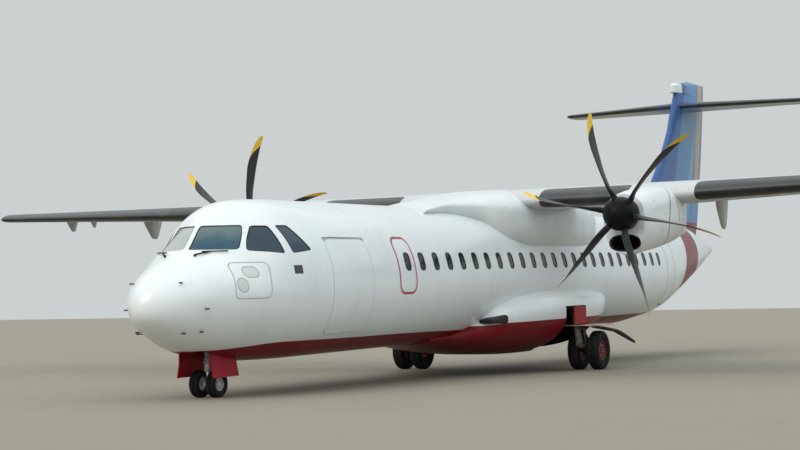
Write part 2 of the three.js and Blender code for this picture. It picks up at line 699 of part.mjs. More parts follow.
// columns: across, cut off the leading edge, cut off the trailing edge, ratio
const TAIL_TIPS = [[3590, 90, 15, 0.075], [TAILPLANE.half, 290, 50, 0.035]]
const tailTips = (sign) => TAIL_TIPS.map(([across, ahead, behind, ratio]) => {
  const base = tailSection(TAIL_TIP_START)
  return { ...base, across: sign * across, station: base.station + ahead, chord: base.chord - ahead - behind, ratio }
})
const tailWhole = (grow) => surface([
  ...tailTips(-1).reverse(), tailSection(-TAIL_TIP_START), tailSection(0), tailSection(TAIL_TIP_START), ...tailTips(1),
], false, grow)
const ELEVATOR = { inner: 430, outer: 3440, share: 0.68 }
function tailHinge(across) {
  const { station, chord } = tailSection(across)
  return [at(station + ELEVATOR.share * chord), across, TAILPLANE.up]
}
const tailRadius = (across) => {
  const { chord, ratio } = tailSection(across)
  return (halfThickness(ELEVATOR.share, ratio) * chord + EDGE * ELEVATOR.share) * 0.98
}
const elevatorEnds = [tailHinge(ELEVATOR.inner), tailHinge(ELEVATOR.outer)]
const elevatorRadii = [tailRadius(ELEVATOR.inner), tailRadius(ELEVATOR.outer)]
const elevatorCove = hingeRegion(elevatorEnds, elevatorRadii.map((r) => r + CLEAR), [60, 60], false, CLEAR)
// Behind the fin the fixed tailplane ends short of the rudder
const TAIL_CENTRE_REAR = 25900
const TAIL_LUG_REAR = 26080
const RUDDER_NOSE_ROOM = 125
const TAIL_GAP_DEEP = 300 // above and below the tailplane, and behind its trailing edge
const tailGapBox = (front, half) => box(at(LENGTH + TAIL_GAP_DEEP), at(front), -half, half,
  TAILPLANE.up - TAIL_GAP_DEEP, TAILPLANE.up + TAIL_GAP_DEEP)
const tailGap = join(tailGapBox(TAIL_LUG_REAR, ELEVATOR.inner + 2), tailGapBox(TAIL_CENTRE_REAR, RUDDER_NOSE_ROOM))
const TAIL_PIN = 14
const elevatorPins = [
  pinPair(elevatorEnds[0], elevatorEnds[1], TAIL_PIN, CLEAR + 24, 40),
  pinPair(elevatorEnds[1], elevatorEnds[0], TAIL_PIN, CLEAR + 24, 40),
]
const elevatorLeft = elevatorPins.reduce((solid, { bore }) => solid.subtract(bore),
  tailWhole(0).intersect(hingeRegion(elevatorEnds, elevatorRadii, [90, 90], false)))
let tailplane = tailWhole(0).subtract(elevatorCove).subtract(mirrored(elevatorCove)).subtract(tailGap)
for (const { pin } of elevatorPins) tailplane = tailplane.add(pin).add(mirrored(pin))

const RUDDER_FOOT_ROOM = 30
const RUDDER_PIN = 20
const footHeight = tableAt(FUSELAGE, 'top', RUDDER.lowStation)
const footPoint = [at(rudderHinge(footHeight)), 0, footHeight]
const rudderPin = pinPair(footPoint, rudderEnds[rudderEnds.length - 1], RUDDER_PIN, 60, 130)
const fin = finWhole.subtract(rudderCove).subtract(grownFuselage).subtract(tailWhole(SEAT))
const rudder = finWhole.intersect(rudderZone)
  .subtract(fuselageBody(RUDDER_FOOT_ROOM)).subtract(rudderPin.bore)
fuselage = fuselage.add(rudderPin.pin)

// Nacelles
const ENGINE_OUT = 4050
const PROP_STATION = 9183
const PROP_HEIGHT = 3072
const PROP_RADIUS = 1965
// columns: station, top, bottom, half, widest
const NACELLE = [
  [9430, 3440, 2330, 400, 2980],
  [9620, 3490, 2312, 450, 2980],
  [10050, 3560, 2360, 490, 3000],
  [10700, 3625, 2425, 505, 3030],
  [11250, 3650, 2500, 500, 3060],
  [11600, 3600, 2555, 455, 3070],
  [12200, 3560, 2640, 270, 3120],
  [12700, 3510, 2720, 110, 3160],
  [12960, 3480, 2760, 25, 3200],
]
const nacelleRing = (grow) => ([station, top, bottom, half, widest]) => bodyRing(station, {
  top, bottom, half, widest, crown: 2.3, belly: 2.3, side: ENGINE_OUT,
}, grow, 24)
const INTAKE = { up: 2535, half: 300, rise: 150, rear: 10450 }
const COWL_WALL = 40
const CAVITY = { front: 9700, rear: 11050, top: 3400, floor: 2560, half: 400 }
const intakeShape = (station, share) => bodyRing(station, {
  top: INTAKE.up + INTAKE.rise * share, bottom: INTAKE.up - INTAKE.rise * share,
  half: INTAKE.half * share, widest: INTAKE.up, crown: 2.3, belly: 2.3, side: ENGINE_OUT,
}, 0, 16)
const cavity = box(at(CAVITY.rear), at(CAVITY.front), ENGINE_OUT - CAVITY.half, ENGINE_OUT + CAVITY.half,
  CAVITY.floor, CAVITY.top)
const SHAFT_RADIUS = 90
const nacelleLeft = loft(NACELLE.map(nacelleRing(0)))
  .subtract(grownWing)
  .subtract(cavity)
  .subtract(loft([intakeShape(9300, 1), intakeShape(9700, 0.92), intakeShape(INTAKE.rear, 0.7)]))
  .subtract(bar([at(9800), ENGINE_OUT, PROP_HEIGHT], [at(9300), ENGINE_OUT, PROP_HEIGHT], SHAFT_RADIUS + CLEAR, 16))

// Engine: gearbox and power section as one plain block, held at the back and top of its bay
const ENGINE = { front: 9747, rear: CAVITY.rear - SEAT, half: 330, low: 2720, high: CAVITY.top - SEAT }
const engineLeft = box(at(ENGINE.rear), at(ENGINE.front), ENGINE_OUT - ENGINE.half, ENGINE_OUT + ENGINE.half,
  ENGINE.low, ENGINE.high)

// Propeller, built about its own shaft: X forward along the shaft, origin in the blades' plane
const SPINNER_RADIUS = 315
const SPINNER = { nose: 353, widest: -60, rear: -217, wall: 14, taper: 4 }
const BLADES = 6
const BLADE_PHASE = { left: -16.9, right: 8 } // degrees of one blade from straight up
const HUB_RADIUS = 190
const SHANK = 58
const SHANK_SIDES = 8
const SHAFT_SIDES = 16

// Spinner profile [radius, forward], from the nose back along the outside and forward inside
function spinnerProfile() {
  const { nose, widest, rear, wall, taper } = SPINNER
  const steps = 3
  const arc = (radius, tip) => Array.from({ length: steps + 1 }, (_, i) => {
    const angle = Math.PI / 2 * i / steps
    return [radius * Math.sin(angle), widest + (tip - widest) * Math.cos(angle)]
  })
  return [
    ...arc(SPINNER_RADIUS, nose),
    [SPINNER_RADIUS - taper, rear],
    [SPINNER_RADIUS - wall - taper, rear],
    ...arc(SPINNER_RADIUS - wall, nose - wall).reverse(),
  ]
}

// A profile of [radius, forward] pairs turned about the shaft
function aboutShaft(profile) {
  const points = profile.map(([radius, forward]) => new THREE.Vector2(Math.max(radius, 0), forward))
  const geometry = new THREE.LatheGeometry(points, SHAFT_SIDES)
  const matrix = new THREE.Matrix4().makeBasis(
    new THREE.Vector3(0, 1, 0), new THREE.Vector3(1, 0, 0), new THREE.Vector3(0, 0, 1),
  )
  return solidOfGeometry(geometry, matrix)
}

// columns: radius, chord, thickness share, angle from the disc plane, sweep towards the leading
// edge, lean square to the chord
const BLADE = [
  [300, 116, 0.95, 78, 0, 0],
  [325, 124, 0.9, 78, 4, 0],
  [430, 215, 0.42, 79, 60, 15],
  [520, 250, 0.28, 80, 105, 30],
  [850, 300, 0.14, 86, 140, 36],
  [1200, 300, 0.09, 93, 140, 22],
  [1560, 234, 0.07, 101.5, 92, 0],
  [1830, 157, 0.06, 105.5, 22, -25],
  [PROP_RADIUS, 82, 0.06, 108, -35, -45],
]
const BLADE_CHORDS = [0, 0.15, 0.55, 1]

// One blade section: a lens at a radius, turned to its blade angle
function bladeRing([radius, chord, ratio, angle, sweep, lean]) {
  const turn = THREE.MathUtils.degToRad(angle)
  const walk = [...BLADE_CHORDS.map((x) => [x, 1]), ...BLADE_CHORDS.slice(1, -1).reverse().map((x) => [x, -1])]
  return walk.map(([x, sign]) => {
    const across = (0.5 - x) * chord + sweep
    const thick = sign * ratio * chord * Math.sqrt(x * (1 - x)) + lean
    const forward = across * Math.sin(turn) + thick * Math.cos(turn)
    const around = across * Math.cos(turn) - thick * Math.sin(turn)
    return [forward, around, radius]
  })
}
const bladeTurn = (index) => 2 * Math.PI * index / BLADES
const spun = (index, [forward, around, radius]) => {
  const turn = bladeTurn(index)
  return [
    forward,
    radius * Math.sin(turn) + around * Math.cos(turn),
    radius * Math.cos(turn) - around * Math.sin(turn),
  ]
}
const bladeSolid = (index) =>
  loft(BLADE.map(bladeRing).map((ring) => ring.map((point) => spun(index, point))))
const shankBar = (index, radius, from, to) =>
  bar(spun(index, [0, 0, from]), spun(index, [0, 0, to]), radius, SHANK_SIDES)

const BACKPLATE = SPINNER_RADIUS - SPINNER.wall - SPINNER.taper - SEAT
const SHAFT_END = PROP_STATION - ENGINE.front + PIN_GAP
let spinner = aboutShaft(spinnerProfile())
let propeller = aboutShaft([
  [0, 130], [HUB_RADIUS, 130], [HUB_RADIUS, -150], [BACKPLATE, SPINNER.rear + 22], [BACKPLATE, SPINNER.rear],
  [SHAFT_RADIUS, SPINNER.rear], [SHAFT_RADIUS, SHAFT_END], [0, SHAFT_END],
])
for (let i = 0; i < BLADES; i++) {
  spinner = spinner.subtract(shankBar(i, SHANK + 14, 200, 420))
  propeller = join(propeller, shankBar(i, SHANK, 150, 330), bladeSolid(i))
}

// Wheels
const MAIN_TYRE = { radius: 400, half: 122, rim: 205, spacing: 430, axle: 46, dish: 92, segments: 20 }
const NOSE_TYRE = { radius: 213, half: 84, rim: 112, spacing: 312, axle: 30, dish: 46, segments: 16 }
const AXLE_SIDES = 14
const BORE_SIDES = AXLE_SIDES + 2 // so that some edge of the axle always lies close to the bore

// Tyre profile [radius, across]: a flat bead seat, bulged sides and round shoulders
function tyreProfile({ radius, half, rim }) {
  const bulge = lerp(rim, radius, 0.55)
  const shoulder = half * 0.6
  const side = [[rim, -half * 0.72]]
  const steps = 2
  for (let i = 0; i <= steps; i++) {
    const angle = Math.PI / 2 * i / steps
    side.push([bulge + (radius - bulge) * Math.sin(angle), -shoulder - (half - shoulder) * Math.cos(angle)])
  }
  return [...side, ...side.slice().reverse().map(([r, y]) => [r, -y]), side[0]]
}

// Rim and dished disc of one wheel; outer is +1 or -1, the way the dish faces
function rimProfile({ rim, half, dish }, outer) {
  const edge = half * 0.72
  return [
    [0, -34], [rim * 0.8, -34], [rim - SEAT, -edge], [rim - SEAT, edge],
    [rim * 0.72, dish - 42], [rim * 0.34, dish], [0, dish],
  ].map(([radius, across]) => [radius, across * outer])
}

// Twin wheels on one turning axle, about the axle's middle
function wheelPair(tyre) {
  const arm = tyre.spacing / 2
  const tyres = [1, -1].map((side) => turned(tyreProfile(tyre), 0, side * arm, 0, tyre.segments))
  const axle = bar([0, -arm, 0], [0, arm, 0], tyre.axle, AXLE_SIDES)
  const hubs = [1, -1].map((side) => turned(rimProfile(tyre, side), 0, side * arm, 0, tyre.segments))
  return { outer: tyres[0], inner: tyres[1], hubs: join(axle, ...hubs) }
}
const mainWheels = wheelPair(MAIN_TYRE)
const noseWheels = wheelPair(NOSE_TYRE)

// Main leg: upright, trailing lever with the axle bore, shock strut, and brackets for its doors
const TRACK_HALF = TRACK / 2
const LEVER_HALF = 46
const LEG_RADIUS = 68
const STRUT_RADIUS = 36
const LEG_SIDES = 12
const LEG = {
  top: [at(12330), 1790, 1290],
  knee: [at(11980), TRACK_HALF, 560],
  strutFoot: [at(12320), TRACK_HALF, 452],
  strutHead: [at(12255), TRACK_HALF, 850],
}
const mainAxle = fromGround(0, TRACK_HALF, MAIN_TYRE.radius)
const acrossLever = (point, radius, sides, grow = 0) => bar(
  [point[0], TRACK_HALF - LEVER_HALF - grow, point[2]],
  [point[0], TRACK_HALF + LEVER_HALF + grow, point[2]], radius, sides)
const LEG_DOOR = { front: 11840, rear: 12440, inner: 2010, thick: 22, low: 955, high: 1315 }
const onLeg = (height) => {
  const t = (LEG.top[2] - height) / (LEG.top[2] - LEG.knee[2])
  return LEG.top.map((value, axis) => lerp(value, LEG.knee[axis], t))
}
const BRACKET = { radius: 22, heights: [1060, 1220] } // hold the door on the leg
const doorBracket = (height) => {
  const from = onLeg(height)
  return bar(from, [from[0], LEG_DOOR.inner - SEAT, height], BRACKET.radius, PIN_SIDES)
}
const LEVER = { knee: 84, axle: 78, arm: 40, strutLink: 34 } // radii of the trailing lever's bosses and bars
const TRUNNION = { front: 12230, rear: 12590, inner: 1660, outer: 1900, low: 1230 }
const mainLeg = join(
  bar(LEG.top, LEG.knee, LEG_RADIUS, LEG_SIDES),
  acrossLever(LEG.knee, LEVER.knee, AXLE_SIDES),
  acrossLever(mainAxle, LEVER.axle, AXLE_SIDES),
  bar(LEG.knee, mainAxle, LEVER.arm, 8),
  bar(LEG.strutFoot, LEG.strutHead, STRUT_RADIUS, LEG_SIDES),
  bar(LEG.strutHead, onLeg(LEG.strutHead[2]), LEVER.strutLink, 8),
  box(at(TRUNNION.rear), at(TRUNNION.front), TRUNNION.inner, TRUNNION.outer, TRUNNION.low, LEG_WELL.roof - SEAT),
  ...BRACKET.heights.map(doorBracket),
).subtract(acrossLever(mainAxle, boreFor(MAIN_TYRE.axle, BORE_SIDES), BORE_SIDES, 1))
const legDoor = box(at(LEG_DOOR.rear), at(LEG_DOOR.front), LEG_DOOR.inner, LEG_DOOR.inner + LEG_DOOR.thick,
  LEG_DOOR.low, LEG_DOOR.high)

// Flat bay door over the wheels, with a drooping seal arm that runs on outwards from its front edge
const BAY_DOOR = { front: 11990, rear: 13010, thick: 14, arm: 65, armThick: 46 }
// columns: across, drop of the upper face below the bay's roof
const BAY_DOOR_CURVE = [[1640, 0], [2200, 0], [2310, 3], [2400, 10]]
const SEAL_ARM_CURVE = [[2310, 3], [2400, 10], [2540, 26], [2670, 51], [2870, 98], [3050, 198], [3150, 270], [3222, 324]]

// An outline of [across, up] points carried along the fuselage between two stations
function alongFuselage(points, front, rear) {
  const outline = new THREE.Shape(points.map(([across, up]) => new THREE.Vector2(across, up)))
  const geometry = new THREE.ExtrudeGeometry(outline, { depth: rear - front, bevelEnabled: false })
  const matrix = new THREE.Matrix4().makeBasis(
    new THREE.Vector3(0, 1, 0), new THREE.Vector3(0, 0, 1), new THREE.Vector3(1, 0, 0),
  )
  return solidOfGeometry(geometry, matrix.setPosition(at(rear), 0, 0))
}
const doorFace = (curve, sunk) => curve.map(([across, drop]) => [across, BAY.roof - SEAT - drop - sunk])
const aroundBar = (from, to, radius) =>
  bar(from, to, radius + SEAT / Math.cos(Math.PI / LEG_SIDES), LEG_SIDES)
const curvedPlate = (curve, thick, rear) =>
  alongFuselage([...doorFace(curve, 0), ...doorFace(curve, thick).reverse()], BAY_DOOR.front, rear)
const bayDoor = join(
  curvedPlate(BAY_DOOR_CURVE, BAY_DOOR.thick, BAY_DOOR.rear),
  curvedPlate(SEAL_ARM_CURVE, BAY_DOOR.armThick, BAY_DOOR.front + BAY_DOOR.arm),
).subtract(aroundBar(LEG.top, LEG.knee, LEG_RADIUS))

// Nose gear
const NOSE_BAY = { front: 1120, rear: 2060, half: 300, roof: 1330 }
fuselage = fuselage.subtract(
  box(at(NOSE_BAY.rear), at(NOSE_BAY.front), -NOSE_BAY.half, NOSE_BAY.half, 0, NOSE_BAY.roof))

const NOSE_LEG = { low: 505, top: 1150, radius: 62, piston: 40, boreTop: 640, collarLow: 400, collarHigh: 490 }
const NOSE_HOUSING = { half: 58, radius: 50 }
const DRAG_BRACE = { low: 760, station: 2010, high: 1290, radius: 30 }
const BRACE_LUG = { ahead: 50, behind: 40, half: 130, deep: 50 } // carries the brace under the bay's roof
const TOW_LUG = { reach: 96, half: 34, low: 186, high: 240 } // on the front of the axle housing
const onNoseLeg = (height) => fromGround(WHEEL_BASE, 0, height)
const noseLeg = join(
  bar(onNoseLeg(NOSE_LEG.low), onNoseLeg(NOSE_LEG.top), NOSE_LEG.radius, 14),
  bar(onNoseLeg(DRAG_BRACE.low), [at(DRAG_BRACE.station), 0, DRAG_BRACE.high], DRAG_BRACE.radius, 10),
  box(at(DRAG_BRACE.station + BRACE_LUG.behind), at(DRAG_BRACE.station - BRACE_LUG.ahead),
    -BRACE_LUG.half, BRACE_LUG.half, DRAG_BRACE.high - BRACE_LUG.deep, NOSE_BAY.roof),
)
  .subtract(box(at(NOSE_BAY.rear), at(NOSE_BAY.front), -NOSE_BAY.half, NOSE_BAY.half,
    NOSE_BAY.roof - SEAT, NOSE_BAY.roof + NOSE_BAY.half))
  .subtract(bar(onNoseLeg(NOSE_LEG.low - 1), onNoseLeg(NOSE_LEG.boreTop),
    boreFor(NOSE_LEG.piston, BORE_SIDES), BORE_SIDES))

// Steered lower leg, on the level ground frame: piston, collar, torque link, axle housing, tow lug
const underLeg = (height, aft = 0) => [WHEEL_BASE - aft, 0, height]
const acrossFork = (half, radius, sides) =>
  bar([WHEEL_BASE, -half, NOSE_TYRE.radius], [WHEEL_BASE, half, NOSE_TYRE.radius], radius, sides)
const TORQUE_LINK = { apex: underLeg(300, 90), top: underLeg(440, 40), foot: underLeg(240, 20), radius: 20 }
const noseFork = join(
  bar(underLeg(NOSE_TYRE.radius), underLeg(NOSE_LEG.boreTop - 10), NOSE_LEG.piston, AXLE_SIDES),
  bar(underLeg(NOSE_LEG.collarLow), underLeg(NOSE_LEG.collarHigh), NOSE_HOUSING.half, AXLE_SIDES),
  bar(TORQUE_LINK.apex, TORQUE_LINK.top, TORQUE_LINK.radius, 8),
  bar(TORQUE_LINK.apex, TORQUE_LINK.foot, TORQUE_LINK.radius, 8),
  box(WHEEL_BASE, WHEEL_BASE + TOW_LUG.reach, -TOW_LUG.half, TOW_LUG.half, TOW_LUG.low, TOW_LUG.high),
  acrossFork(NOSE_HOUSING.half, NOSE_HOUSING.radius, AXLE_SIDES),
).subtract(acrossFork(NOSE_HOUSING.half + 1, boreFor(NOSE_TYRE.axle, BORE_SIDES), BORE_SIDES))

// Nose doors, hanging from the edges of their bay and splayed out past the steered wheels
const NOSE_DOOR = { front: 1360, rear: 2050, thick: 18, low: 545, bend: 765, high: 950, splay: 48 }
const noseDoorOuter = NOSE_BAY.half - SEAT
const noseDoorInner = noseDoorOuter - NOSE_DOOR.thick
const noseDoorLeft = alongFuselage([
  [noseDoorOuter, NOSE_DOOR.high], [noseDoorOuter, NOSE_DOOR.bend], [noseDoorOuter + NOSE_DOOR.splay, NOSE_DOOR.low],
  [noseDoorInner + NOSE_DOOR.splay, NOSE_DOOR.low], [noseDoorInner, NOSE_DOOR.bend], [noseDoorInner, NOSE_DOOR.high],
], NOSE_DOOR.front, NOSE_DOOR.rear)

// Jacking pads: one under the nose, two under the belly fairing
const JACK_PAD = { radius: 45, proud: 14, root: 60 }
const NOSE_PAD_STATION = 2420
const BELLY_PAD = { station: 11300, across: 450, low: 362 }
const jackPad = (station, across, low) =>
  bar([at(station), across, low + JACK_PAD.root], [at(station), across, low], JACK_PAD.radius, 12)
const noseKeel = tableAt(FUSELAGE, 'bottom', NOSE_PAD_STATION)
fuselage = fuselage.add(jackPad(NOSE_PAD_STATION, 0, noseKeel - JACK_PAD.proud))
const bellyPad = jackPad(BELLY_PAD.station, BELLY_PAD.across, BELLY_PAD.low)
bellyFairing = join(bellyFairing, bellyPad, mirrored(bellyPad))

// Pieces
const airframe = new THREE.Group()
airframe.rotation.y = ATTITUDE
const ground = new THREE.Group()

function addPiece(group, name, solid, material, place = [0, 0, 0], roll = 0) {
  const { vertProperties, triVerts } = solid.getMesh()
  const geometry = new THREE.BufferGeometry()
  geometry.setAttribute('position', new THREE.BufferAttribute(new Float32Array(vertProperties), 3))
  geometry.setIndex(Array.from(triVerts))
  geometry.computeVertexNormals()
  const mesh = new THREE.Mesh(geometry, material)
  mesh.name = name
  mesh.position.set(...place)
  mesh.rotation.x = roll
  group.add(mesh)
}
function addPair(group, name, solid, material) {
  addPiece(group, `${name}_left`, solid, material)
  addPiece(group, `${name}_right`, mirrored(solid), material)
}

const white = paint(WHITE)
const red = paint(RED)
const boot = paint(BOOT, 0.5)
const steel = paint(STEEL, 0.45, 0.7)
const rubber = paint(RUBBER, 0.85)
addPiece(airframe, 'fuselage', fuselage, white)
addPiece(airframe, 'radome', radome, white)
addPiece(airframe, 'cockpit_glazing', cockpitGlazing, paint(GLASS, 0.08))
addPiece(airframe, 'tail_cone', tailCone, white)
for (const name of Object.keys(DOORS)) addPiece(airframe, name, doorSolids[name], white)
addPiece(airframe, 'wing_root_fairing', rootFairing, white)
addPiece(airframe, 'belly_fairing', bellyFairing, red)
addPiece(airframe, 'wing_center', wingCentre, paint(GREY))
addPair(airframe, 'wing', wingLeft, paint(GREY))
for (const { name } of WING_PANELS) addPair(airframe, name, panelSolids[name], paint(GREY))
addPair(airframe, 'nacelle', nacelleLeft, white)
addPair(airframe, 'engine', engineLeft, steel)
addPiece(airframe, 'fin', fin, paint(BLUE))
addPiece(airframe, 'rudder', rudder, paint(BLUE))
addPiece(airframe, 'tailplane', tailplane, white)
addPair(airframe, 'elevator', elevatorLeft, white)
for (const [side, across] of [['left', ENGINE_OUT], ['right', -ENGINE_OUT]]) {
  const place = [at(PROP_STATION), across, PROP_HEIGHT]
  const roll = -THREE.MathUtils.degToRad(BLADE_PHASE[side])
  addPiece(airframe, `spinner_${side}`, spinner, boot, place, roll)
  addPiece(airframe, `propeller_${side}`, propeller, boot, place, roll)
}
addPair(airframe, 'main_leg', mainLeg, steel)
addPair(airframe, 'main_leg_door', legDoor, red)
addPair(airframe, 'main_bay_door', bayDoor, red)
addPiece(airframe, 'nose_leg', noseLeg, steel)
addPair(airframe, 'nose_door', noseDoorLeft, red)

for (const [side, across] of [['left', TRACK_HALF], ['right', -TRACK_HALF]]) {
  const place = [0, across, MAIN_TYRE.radius]
  const [outer, inner] = across > 0 ? ['outer', 'inner'] : ['inner', 'outer']
  addPiece(ground, `main_wheels_${side}`, mainWheels.hubs, red, place)
  addPiece(ground, `main_tyre_${outer}_${side}`, mainWheels.outer, rubber, place)
  addPiece(ground, `main_tyre_${inner}_${side}`, mainWheels.inner, rubber, place)
}
const nosePlace = [WHEEL_BASE, 0, NOSE_TYRE.radius]
addPiece(ground, 'nose_fork', noseFork, steel)
addPiece(ground, 'nose_wheels', noseWheels.hubs, steel, nosePlace)
addPiece(ground, 'nose_tyre_left', noseWheels.outer, rubber, nosePlace)
addPiece(ground, 'nose_tyre_right', noseWheels.inner, rubber, nosePlace)

const aircraft = new THREE.Group()
aircraft.add(airframe, ground)
const extent = new THREE.Box3().setFromObject(aircraft)
aircraft.position.x = -(extent.min.x + extent.max.x) / 2

export default aircraft
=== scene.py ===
# Twin-turboprop regional airliner, dressed for its portrait: fine skins, paint, glass, tyres and gear.
# Metres. Stations are counted from the nose tip backwards, in the airframe's own nose-down frame.
import math

import bpy
import numpy as np
from mathutils import Matrix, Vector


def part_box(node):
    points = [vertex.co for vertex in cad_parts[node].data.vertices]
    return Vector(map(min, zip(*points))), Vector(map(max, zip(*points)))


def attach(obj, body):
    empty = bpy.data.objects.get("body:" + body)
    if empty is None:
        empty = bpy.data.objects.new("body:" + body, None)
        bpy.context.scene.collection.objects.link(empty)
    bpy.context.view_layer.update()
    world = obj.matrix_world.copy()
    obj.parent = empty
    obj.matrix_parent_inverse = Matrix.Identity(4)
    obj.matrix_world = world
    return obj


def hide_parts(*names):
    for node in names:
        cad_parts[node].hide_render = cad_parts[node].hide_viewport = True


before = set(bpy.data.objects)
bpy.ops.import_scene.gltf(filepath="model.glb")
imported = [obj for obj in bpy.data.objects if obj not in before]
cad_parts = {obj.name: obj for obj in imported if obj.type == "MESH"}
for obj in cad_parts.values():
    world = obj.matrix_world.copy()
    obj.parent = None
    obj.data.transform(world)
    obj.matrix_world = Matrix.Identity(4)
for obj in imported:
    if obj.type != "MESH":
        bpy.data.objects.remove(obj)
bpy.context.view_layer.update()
print("stage: frame loaded,", len(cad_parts), "nodes")

pi = math.pi
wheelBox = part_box("main_wheels_left")
airframe = {
    "length": 27.166,
    "gearStation": 12.47,  # main gear, from the nose tip
    "attitude": math.radians(1.19),  # nose-down, standing on its gear
    "gearX": (wheelBox[0].x + wheelBox[1].x) / 2,  # where the main gear stands in the frame
    "halfWidth": 1.4325,
    "roof": 3.3545,
    "keel": 0.737,
    "middle": 1.922,  # height of the round upper body's centre
}
turnCos, turnSin = math.cos(airframe["attitude"]), math.sin(airframe["attitude"])


# Row point of an airframe point: turned nose-down about the gear's contact, then moved to its place.
def toRow(station, across, up):
    station, across, up = np.broadcast_arrays(*(np.asarray(v, float) for v in (station, across, up)))
    along = airframe["gearStation"] - station
    return np.stack(
        [along * turnCos + up * turnSin + airframe["gearX"], across, up * turnCos - along * turnSin], -1
    )


# Even angles once round, the first nought.
def ringAngles(count):
    return np.arange(count) * 2 * pi / count


# 0 to 1 along a quarter of a sine wave.
def quarterSine(count):
    return np.sin(np.linspace(0, 1, count) * pi / 2)


# 1 up to the start, then down along a quarter circle over the reach; most keeps it just over nought.
def quarterClose(value, start, reach, most):
    return np.sqrt(1 - np.clip((value - start) / reach, 0, most) ** 2)


# Cubic through the rows; each row's slope is the weighted harmonic mean of its neighbours' slopes, or
# nought at a turn, so the curve never overshoots.
def smoothTable(xs, ys):
    xs, ys = np.asarray(xs, float), np.asarray(ys, float)
    h = np.diff(xs)
    d = np.diff(ys) / h
    m = np.zeros_like(ys)
    m[0], m[-1] = d[0], d[-1]
    a, b = 2 * h[1:] + h[:-1], h[1:] + 2 * h[:-1]
    same = d[:-1] * d[1:] > 0
    safe = np.where(same, d[:-1], 1), np.where(same, d[1:], 1)
    m[1:-1] = np.where(same, (a + b) / (a / safe[0] + b / safe[1]), 0)

    def at(x):
        x = np.clip(x, xs[0], xs[-1])
        i = np.clip(np.searchsorted(xs, x, side="right") - 1, 0, len(h) - 1)
        t = (x - xs[i]) / h[i]
        return (
            (2 * t**3 - 3 * t**2 + 1) * ys[i]
            + (t**3 - 2 * t**2 + t) * h[i] * m[i]
            + (3 * t**2 - 2 * t**3) * ys[i + 1]
            + (t**3 - t**2) * h[i] * m[i + 1]
        )

    return at


# Meshes


# A mesh object from vertex and face arrays. uv is one pair per vertex. Edges sharper than the angle
# stay sharp.
def newObject(name, verts, faces, material=None, uv=None, sharp=35):
    mesh = bpy.data.meshes.new(name)
    mesh.from_pydata(np.asarray(verts, float), [], [list(map(int, f)) for f in faces])
    if uv is not None:
        layer = mesh.uv_layers.new(name="surface")
        loops = np.zeros(len(mesh.loops), np.int32)
        mesh.loops.foreach_get("vertex_index", loops)
        layer.data.foreach_set("uv", np.asarray(uv, np.float32)[loops].ravel())
    mesh.validate()
    smoothShade(mesh, sharp)
    obj = bpy.data.objects.new(name, mesh)
    bpy.context.scene.collection.objects.link(obj)
    if material:
        mesh.materials.append(material)
    return obj


# Smooth faces, with edges sharper than the angle kept sharp.
def smoothShade(mesh, sharp=35):
    mesh.shade_smooth()
    if sharp:
        mesh.set_sharp_from_angle(angle=math.radians(sharp))


# Quads between neighbouring points of a grid that is numbered row by row.
def gridFaces(rows, columns, wrapRows=False, wrapColumns=True):
    r = np.arange(rows if wrapRows else rows - 1)[:, None]
    c = np.arange(columns if wrapColumns else columns - 1)[None, :]
    r2, c2 = (r + 1) % rows, (c + 1) % columns
    quads = [r * columns + c, r * columns + c2, r2 * columns + c2, r2 * columns + c]
    return np.stack(np.broadcast_arrays(*quads), -1).reshape(-1, 4)


# A sixth of the sum of corner products of every triangle: positive where the faces point out.
def signedVolume(verts, faces):
    total = 0.0
    for size in {len(f) for f in faces}:
        block = np.array([f for f in faces if len(f) == size])
        for k in range(1, size - 1):
            a, b, c = verts[block[:, 0]], verts[block[:, k]], verts[block[:, k + 1]]
            total += float((a * np.cross(b, c)).sum()) / 6
    return total


# Faces turned round where the closed shape's volume comes out negative.
def facingOut(verts, faces):
    return verts, faces if signedVolume(verts - verts.mean(0), faces) > 0 else [f[::-1] for f in faces]


# Vertices and faces of a closed profile carried round a closed path.
def closedBand(grid):
    rows, columns = grid.shape[:2]
    return facingOut(grid.reshape(-1, 3), gridFaces(rows, columns, wrapRows=True).tolist())


# Vertices and faces of a closed skin through rings of equal count, with a fan to the middle of each
# end.
def loft(rings):
    rings = np.asarray(rings, float)
    m, n = rings.shape[:2]
    verts = np.concatenate([rings.reshape(-1, 3), rings[0].mean(0)[None], rings[-1].mean(0)[None]])
    step = np.arange(n)
    front = np.stack([(step + 1) % n, step, np.full(n, m * n)], -1)
    back = np.stack([(m - 1) * n + step, (m - 1) * n + (step + 1) % n, np.full(n, m * n + 1)], -1)
    return facingOut(verts, [*gridFaces(m, n).tolist(), *front.tolist(), *back.tolist()])


# One vertex and face list from several.
def joined(parts):
    verts, faces, start = [], [], 0
    for v, f in parts:
        verts.append(np.asarray(v, float))
        faces.extend([[i + start for i in face] for face in f])
        start += len(v)
    return np.concatenate(verts), faces


# The same part on the other side: across changes sign and every face is turned round.
def mirroredPart(part):
    verts, faces = part
    return np.asarray(verts) * (1, -1, 1), [f[::-1] for f in faces]


# The part and its mirror image.
def both(part):
    return joined([part, mirroredPart(part)])


# Cuts the given closed parts out of obj, or keeps what is inside them, and bakes the result into its
# mesh.
def carve(obj, parts, operation="DIFFERENCE"):
    tool = newObject("carvingTool", *joined(parts), sharp=0)
    modifier = obj.modifiers.new("carve", "BOOLEAN")
    modifier.operation, modifier.object, modifier.solver = operation, tool, "EXACT"
    result = bpy.data.meshes.new_from_object(obj.evaluated_get(bpy.context.evaluated_depsgraph_get()))
    obj.modifiers.clear()
    old, obj.data = obj.data, result
    result.name = obj.name
    bpy.data.meshes.remove(old)
    bpy.data.objects.remove(tool)
    smoothShade(result)
    return obj


